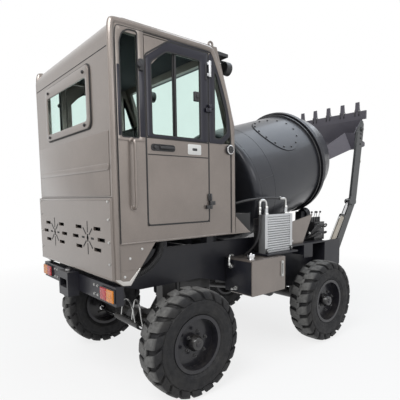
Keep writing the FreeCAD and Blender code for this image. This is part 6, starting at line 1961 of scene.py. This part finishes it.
def leaning_block(foot, way, length, half, back, front, rounding):
    """A block that leans: it runs from a foot along a way, with its thickness across it."""
    way = Vector(way).normalized()
    over = Vector((way.z, 0, -way.x))
    shape = block((-back, -half, 0), (front, half, length), rounding, 3)
    turn = Matrix((over, LEFT, way)).transposed().to_4x4()
    return placed(shape, Matrix.Translation(Vector(foot)) @ turn)


# %% Seat cushion and back
FLOOR_Z = 1.286
SEAT_HALF = box("driver_seat")[1].y - 0.022
BACK_WAY = Vector((-0.090, 0, 0.570)).normalized()
BACK_FOOT = Vector((-1.196, 0, 1.690))
cushion_made = cushion("seat_cushion",
                       block((-1.150, -SEAT_HALF, 1.604), (-0.824, SEAT_HALF, 1.672), 0.020, 3))
back_made = cushion("seat_back",
                    leaning_block(BACK_FOOT, BACK_WAY, 0.515, SEAT_HALF - 0.010, 0.032, 0.034, 0.022))

# %% [markdown]
# The sewn channels come after the simulation. A ray is shot at the cushion from above, or at the back
# from the front, and a thin cord is laid through the points that it hits.

# %% Sewn channels and piping
from mathutils.bvhtree import BVHTree

CORD_RADIUS = 0.0026


def sewn_line(made, starts, direction):
    """A cord laid on a padded piece, through the hits of rays from a row of starts."""
    tree = BVHTree.FromObject(made, bpy.context.evaluated_depsgraph_get())
    hits = [tree.ray_cast(Vector(start), Vector(direction))[0] for start in starts]
    hits = [hit - Vector(direction).normalized() * CORD_RADIUS * 0.1 for hit in hits if hit]
    return joined([bar(a, b, CORD_RADIUS, 8) for a, b in zip(hits, hits[1:])])


bpy.context.view_layer.update()
across_steps = [-SEAT_HALF + 0.012 + (SEAT_HALF * 2 - 0.024) * step / 24 for step in range(25)]
lines = [sewn_line(cushion_made, [(x, y, 1.85) for y in across_steps], (0, 0, -1))
         for x in (-1.06, -0.98, -0.90)]
lines += [sewn_line(cushion_made, [(x, y, 1.85) for x in [-1.13 + 0.0125 * step for step in range(24)]],
                    (0, 0, -1)) for y in (-SEAT_HALF + 0.055, SEAT_HALF - 0.055)]
front_way = Vector((-BACK_WAY.z, 0, BACK_WAY.x))
for reach in (0.12, 0.22, 0.32, 0.42):
    middle_point = BACK_FOOT + BACK_WAY * reach - front_way * 0.3
    lines.append(sewn_line(back_made, [middle_point + LEFT * y for y in across_steps[1:-1]], front_way))
piece("seat_channels", joined(lines), GASKET, slot="seat", stands_for=("driver_seat",))

# %% [markdown]
# Under the cushion are the seat's pan, its ribbed suspension bellows, two slide rails and a base plate.

# %% Seat stand
stand = [block((-1.175, -0.205, 1.578), (-0.835, 0.205, 1.602), 0.008),
         block((-1.215, -0.190, FLOOR_Z), (-0.925, 0.190, 1.306), 0.006)]
for step in range(7):
    inset = 0.012 if step % 2 else 0.0
    stand.append(block((-1.195 + inset, -0.165 + inset, 1.306 + 0.034 * step),
                       (-0.945 - inset, 0.165 - inset, 1.340 + 0.034 * step), 0.010))
stand.append(leaning_block((-1.228, 0, 1.600), BACK_WAY, 0.56, 0.175, 0.010, 0.008, 0.006))
piece("seat_stand", joined(stand), BLACK_PLASTIC, slot="seat", stands_for=("driver_seat",))
rails = [block((-1.20, y - 0.018, 1.545), (-0.86, y + 0.018, 1.579), 0.004) for y in (-0.175, 0.175)]
piece("seat_rails", joined(rails), STEEL, stands_for=("driver_seat",))

# %% [markdown]
# ### Controls
#
# The CAD has the console and the steering wheel. A hub cap, a column sleeve and a bank of levers with
# round knobs complete them.

# %% Hub cap, sleeve and levers
COLUMN_RISE = radians(60)
column_way = Vector((-cos(COLUMN_RISE), 0, sin(COLUMN_RISE)))
column_foot = Vector((-0.7665, 0, 1.805))
wheel_hub = turned([(0.172, 0.0), (0.172, 0.040), (0.186, 0.046), (0.202, 0.044),
                    (0.210, 0.030), (0.212, 0.0)], column_foot, column_way, 36)
sleeve = turned([(0.0, 0.040), (0.010, 0.044), (0.020, 0.036), (0.030, 0.044),
                 (0.040, 0.035), (0.050, 0.042), (0.060, 0.033), (0.075, 0.030),
                 (0.150, 0.026), (0.152, 0.021)], column_foot, column_way, 32)
piece("steering_hub", joined([wheel_hub, sleeve]), BLACK_PLASTIC)
lever_rods, lever_knobs = [], []
for number in range(4):
    foot = Vector((-0.98 + 0.055 * number, -0.335, FLOOR_Z))
    tip = foot + Vector((-0.030, 0.012, 0.400 + 0.012 * (number % 2)))
    lever_rods.append(bar(foot, tip, 0.0065, 14))
    lever_knobs.append(turned([(0.0, 0.0), (0.004, 0.012), (0.018, 0.019), (0.034, 0.017),
                               (0.044, 0.0)], tip - Vector((0, 0, 0.012)), tip - foot, 24))
lever_box = block((-1.015, -0.385, FLOOR_Z), (-0.775, -0.285, 1.420), 0.015, 3)
piece("control_levers", joined(lever_rods), STEEL)
piece("control_lever_knobs", joined(lever_knobs + [lever_box]), BLACK_PLASTIC)

# %% [markdown]
# ### Work lamps
#
# The two lamps over the windscreen are round cans. Each gets a black bezel and a domed clear lens.

# %% Work lamp lenses
work_low, work_high = box("work_lamps")
LAMP_RADIUS = 0.055
for side, sign in SIDES:
    front = Vector((work_high.x, sign * (work_high.y - LAMP_RADIUS), work_low.z + LAMP_RADIUS))
    bezel = turned([(-0.018, LAMP_RADIUS + 0.0004), (-0.014, LAMP_RADIUS + 0.002),
                    (-0.001, LAMP_RADIUS + 0.002), (0.002, LAMP_RADIUS - 0.002),
                    (0.002, LAMP_RADIUS - 0.008), (-0.004, LAMP_RADIUS - 0.010),
                    (-0.018, LAMP_RADIUS + 0.0004)], front, (1, 0, 0), 44)
    lens = turned([(-0.006, 0.0), (-0.006, LAMP_RADIUS - 0.009), (-0.001, LAMP_RADIUS - 0.010),
                   (0.004, 0.030), (0.006, 0.015), (0.0065, 0.0)], front, (1, 0, 0), 40)
    piece("work_lamp_bezel_" + side, bezel, BLACK_PAINT)
    piece("work_lamp_lens_" + side, lens, CLEAR_LENS)

# %% [markdown]
# ### Headliner
#
# A cab's ceiling is lined with a board that swallows sound and glare. Its near black is partly its own
# colour and partly painted shade, the dark under the roof. It lies just under the roof.
# A ray sent up from the middle of the cab finds the roof's underside, and rays sent sideways find the
# walls, so the board fits whatever the roof's thickness is.

# %% Headliner
def inner_reach(node_names, start, way):
    """How far a ray goes inside the cab before it meets one of the named nodes."""
    start, way, hits = Vector(start), Vector(way), []
    for name in node_names:
        mesh = nodes[name].data
        tree = BVHTree.FromPolygons([vert.co for vert in mesh.vertices],
                                    [face.vertices[:] for face in mesh.polygons])
        distance = tree.ray_cast(start, way)[3]
        if distance:
            hits.append(distance)
    return min(hits, default=0.0)


EYE_X, EYE_Y, EYE_Z = -1.30, 0.021, 2.35
ceiling = EYE_Z + inner_reach(("cab_roof", "cab_shell"), (EYE_X, EYE_Y, EYE_Z), (0, 0, 1))
eye_line = (EYE_X, EYE_Y, ceiling - 0.003)
cab_walls = ("cab_roof", "cab_shell", "cab_side_left", "cab_side_right")
back_wall = EYE_X - inner_reach(cab_walls, eye_line, (-1, 0, 0))
front_wall = EYE_X + inner_reach(cab_walls + ("cab_glass",), eye_line, (1, 0, 0))
half_ceiling = inner_reach(cab_walls, eye_line, (0, -1, 0)) - EYE_Y
headliner = block((back_wall + 0.008, -half_ceiling + 0.008, ceiling - 0.014),
                  (front_wall - 0.030, half_ceiling - 0.008, ceiling - 0.002), 0.005)
# The board's near-black finish is partly painted shade under the roof.
piece("cab_headliner", headliner, HEADLINER_AND_SHADE)
print("headliner from", round(back_wall, 3), "to", round(front_wall, 3), "half width",
      round(half_ceiling, 3), "at", round(ceiling, 3))

# %% [markdown]
# ### Transfer gearbox and propeller shafts
#
# Both axles are driven from one gearbox that hangs between the frame's rails on two cross-members. It is
# a casting: a rounded case, a bolted cover on its side and a round flange for each propeller shaft. A
# propeller shaft is a thin tube with a joint at both ends, so it may run at a slant to the axle.

# %% Gearbox between the rails
GEARBOX = ((-0.92, -0.20, 0.58), (-0.46, 0.20, 0.87))
RAIL_INSIDE = 0.470
SHAFT_Z, AXLE_Z = 0.645, 0.430


def gearbox_case():
    (back, right, low), (front, _, high) = GEARBOX
    case = block(GEARBOX[0], GEARBOX[1], 0.030, 3)
    cover = block((back + 0.05, right - 0.012, low + 0.04),
                  (front - 0.05, right + 0.010, high - 0.05), 0.008, 2)
    places = [(x, right - 0.011, z) for x in (back + 0.08, (back + front) / 2, front - 0.08)
              for z in (low + 0.065, high - 0.075)]
    hangers = [block((x - 0.025, -RAIL_INSIDE, high - 0.012), (x + 0.025, RAIL_INSIDE, high + 0.030),
                     0.004) for x in (back + 0.07, front - 0.07)]
    flanges = [bar((x, 0.0, SHAFT_Z), (x + way * 0.030, 0.0, SHAFT_Z), 0.062, 32, 0.004)
               for x, way in ((front - 0.006, 1), (back + 0.006, -1))]
    return joined([case, cover, bolts(places, (0, -1, 0), 0.011)] + hangers + flanges)


piece("transfer_gearbox", gearbox_case(), AXLE_PAINT)


# %% Propeller shafts
def propeller_shaft(start, end):
    """A tube between two joints, each a short thick yoke."""
    start, end = Vector(start), Vector(end)
    way = (end - start).normalized()
    return joined([bar(start, end, 0.027, 24), bar(start, start + way * 0.060, 0.040, 24, 0.006),
                   bar(end - way * 0.060, end, 0.040, 24, 0.006)])


front_shaft = propeller_shaft((GEARBOX[1][0] + 0.020, 0.0, SHAFT_Z),
                              (box("front_axle")[0].x - 0.004, 0.0, AXLE_Z))
rear_shaft = propeller_shaft((GEARBOX[0][0] - 0.020, 0.0, SHAFT_Z),
                             (box("rear_axle")[1].x + 0.004, 0.0, AXLE_Z))
piece("propeller_shafts", joined([front_shaft, rear_shaft]), AXLE_PAINT)

# %% [markdown]
# ## Floor, light and camera
#
# The mixer stands on a pale floor in front of a white background. Making the background white with
# more light would wash out the paint, so the world is bright white only where the camera, a mirror or
# a pane looks at it, and a mild grey where it lights the mixer. Three large soft lamps do the rest:
# one high behind the cab, one beside the mixer, and one above the bucket that draws the drum's top.

# %% World
def looked_at(tree):
    """One where the camera, a shiny surface or a pane looks, and zero where light only bounces."""
    path = tree.nodes.new("ShaderNodeLightPath")
    seen = times(tree, path.outputs["Is Camera Ray"], path.outputs["Is Transmission Ray"], "MAXIMUM")
    return times(tree, seen, path.outputs["Is Glossy Ray"], "MAXIMUM")


def light_node(tree, kind, strength, colour=(1.0, 1.0, 1.0)):
    """A Background or Emission node of a strength and a colour."""
    made = tree.nodes.new("ShaderNode" + kind)
    made.inputs["Strength"].default_value = strength
    made.inputs["Color"].default_value = (*colour, 1.0)
    return made.outputs[0]


def mixed(tree, share, first, second, out):
    """Two surfaces mixed by a share of the second, and linked to the output node."""
    mix = tree.nodes.new("ShaderNodeMixShader")
    for value, socket in zip((share, first, second), mix.inputs):
        tree.links.new(value, socket)
    tree.links.new(mix.outputs[0], out.inputs["Surface"])


def studio_world():
    world = bpy.data.worlds.new("pale_studio")
    bpy.context.scene.world = world
    world.use_nodes = True
    tree = world.node_tree
    tree.nodes.clear()
    out = tree.nodes.new("ShaderNodeOutputWorld")
    mixed(tree, looked_at(tree), light_node(tree, "Background", 0.30, (0.93, 0.96, 1.0)),
          light_node(tree, "Background", 1.0), out)


studio_world()


# %% Floor
def floor_material():
    material, tree, shader = new_material("pale_floor")
    shader.inputs["Base Color"].default_value = (0.80, 0.80, 0.80, 1.0)
    shader.inputs["Roughness"].default_value = 0.9
    reach = tree.nodes.new("ShaderNodeVectorMath")
    reach.operation = "LENGTH"
    tree.links.new(tree.nodes.new("ShaderNodeTexCoord").outputs["Object"], reach.inputs[0])
    share = spread(tree, reach.outputs["Value"], 2.2, 6.5, 0.80, 1.0)
    mixed(tree, times(tree, looked_at(tree), share), shader.outputs[0], light_node(tree, "Emission", 1.0),
          tree.nodes["Material Output"])
    return material


floor_shape = bmesh.new()
bmesh.ops.create_grid(floor_shape, x_segments=1, y_segments=1, size=30.0)
floor_mesh = bpy.data.meshes.new("studio_floor")
floor_shape.to_mesh(floor_mesh)
floor_shape.free()
floor_mesh.materials.append(floor_material())
floor = bpy.data.objects.new("studio_floor", floor_mesh)
bpy.context.collection.objects.link(floor)


# %% Lamps
def soft_lamp(name, place, aim, size, power, colour=(1.0, 1.0, 1.0)):
    lamp = bpy.data.lights.new(name, "AREA")
    lamp.color = colour
    lamp.shape = "RECTANGLE"
    lamp.size, lamp.size_y = size
    lamp.energy = power
    made = bpy.data.objects.new(name, lamp)
    bpy.context.collection.objects.link(made)
    made.location = place
    made.rotation_mode = "QUATERNION"
    made.rotation_quaternion = (Vector(aim) - Vector(place)).to_track_quat("-Z", "Y")


soft_lamp("key_lamp", (-4.8, -2.2, 5.8), (-0.5, 0.0, 1.4), (4.0, 3.0), 330)
soft_lamp("fill_lamp", (-0.5, -7.0, 3.6), (0.2, 0.0, 1.2), (4.0, 2.5), 90)
soft_lamp("drum_lamp", (3.3, -0.8, 6.2), (0.3, -0.2, 1.9), (4.4, 4.6), 130, (0.80, 0.89, 1.0))

# %% [markdown]
# The camera stands at the height of a person's eyes, off the right rear corner. A small vertical lens
# shift keeps the cab's upright edges nearly parallel while the whole machine stays in the frame.

# %% Camera
camera_data = bpy.data.cameras.new("portrait_camera")
camera_data.sensor_width = 36.0
camera_data.lens = 34.355
camera_data.shift_x = 0.0077
camera_data.shift_y = 0.0806
camera = bpy.data.objects.new("portrait_camera", camera_data)
bpy.context.collection.objects.link(camera)
heading, droop, roll = radians(39.226), radians(5.569), radians(-0.796)
forward = Vector((sin(heading) * cos(droop), cos(heading) * cos(droop), -sin(droop)))
camera.location = (-3.0225, -3.1183, 1.5928)
camera.rotation_mode = "QUATERNION"
camera.rotation_quaternion = forward.to_track_quat("-Z", "Y") @ Quaternion((0, 0, 1), roll)
bpy.context.scene.camera = camera
bpy.context.scene.view_settings.view_transform = "Standard"

# %% The size of the dressed model
print("pieces:", len(piece_count), "triangles:", sum(piece_count.values()))
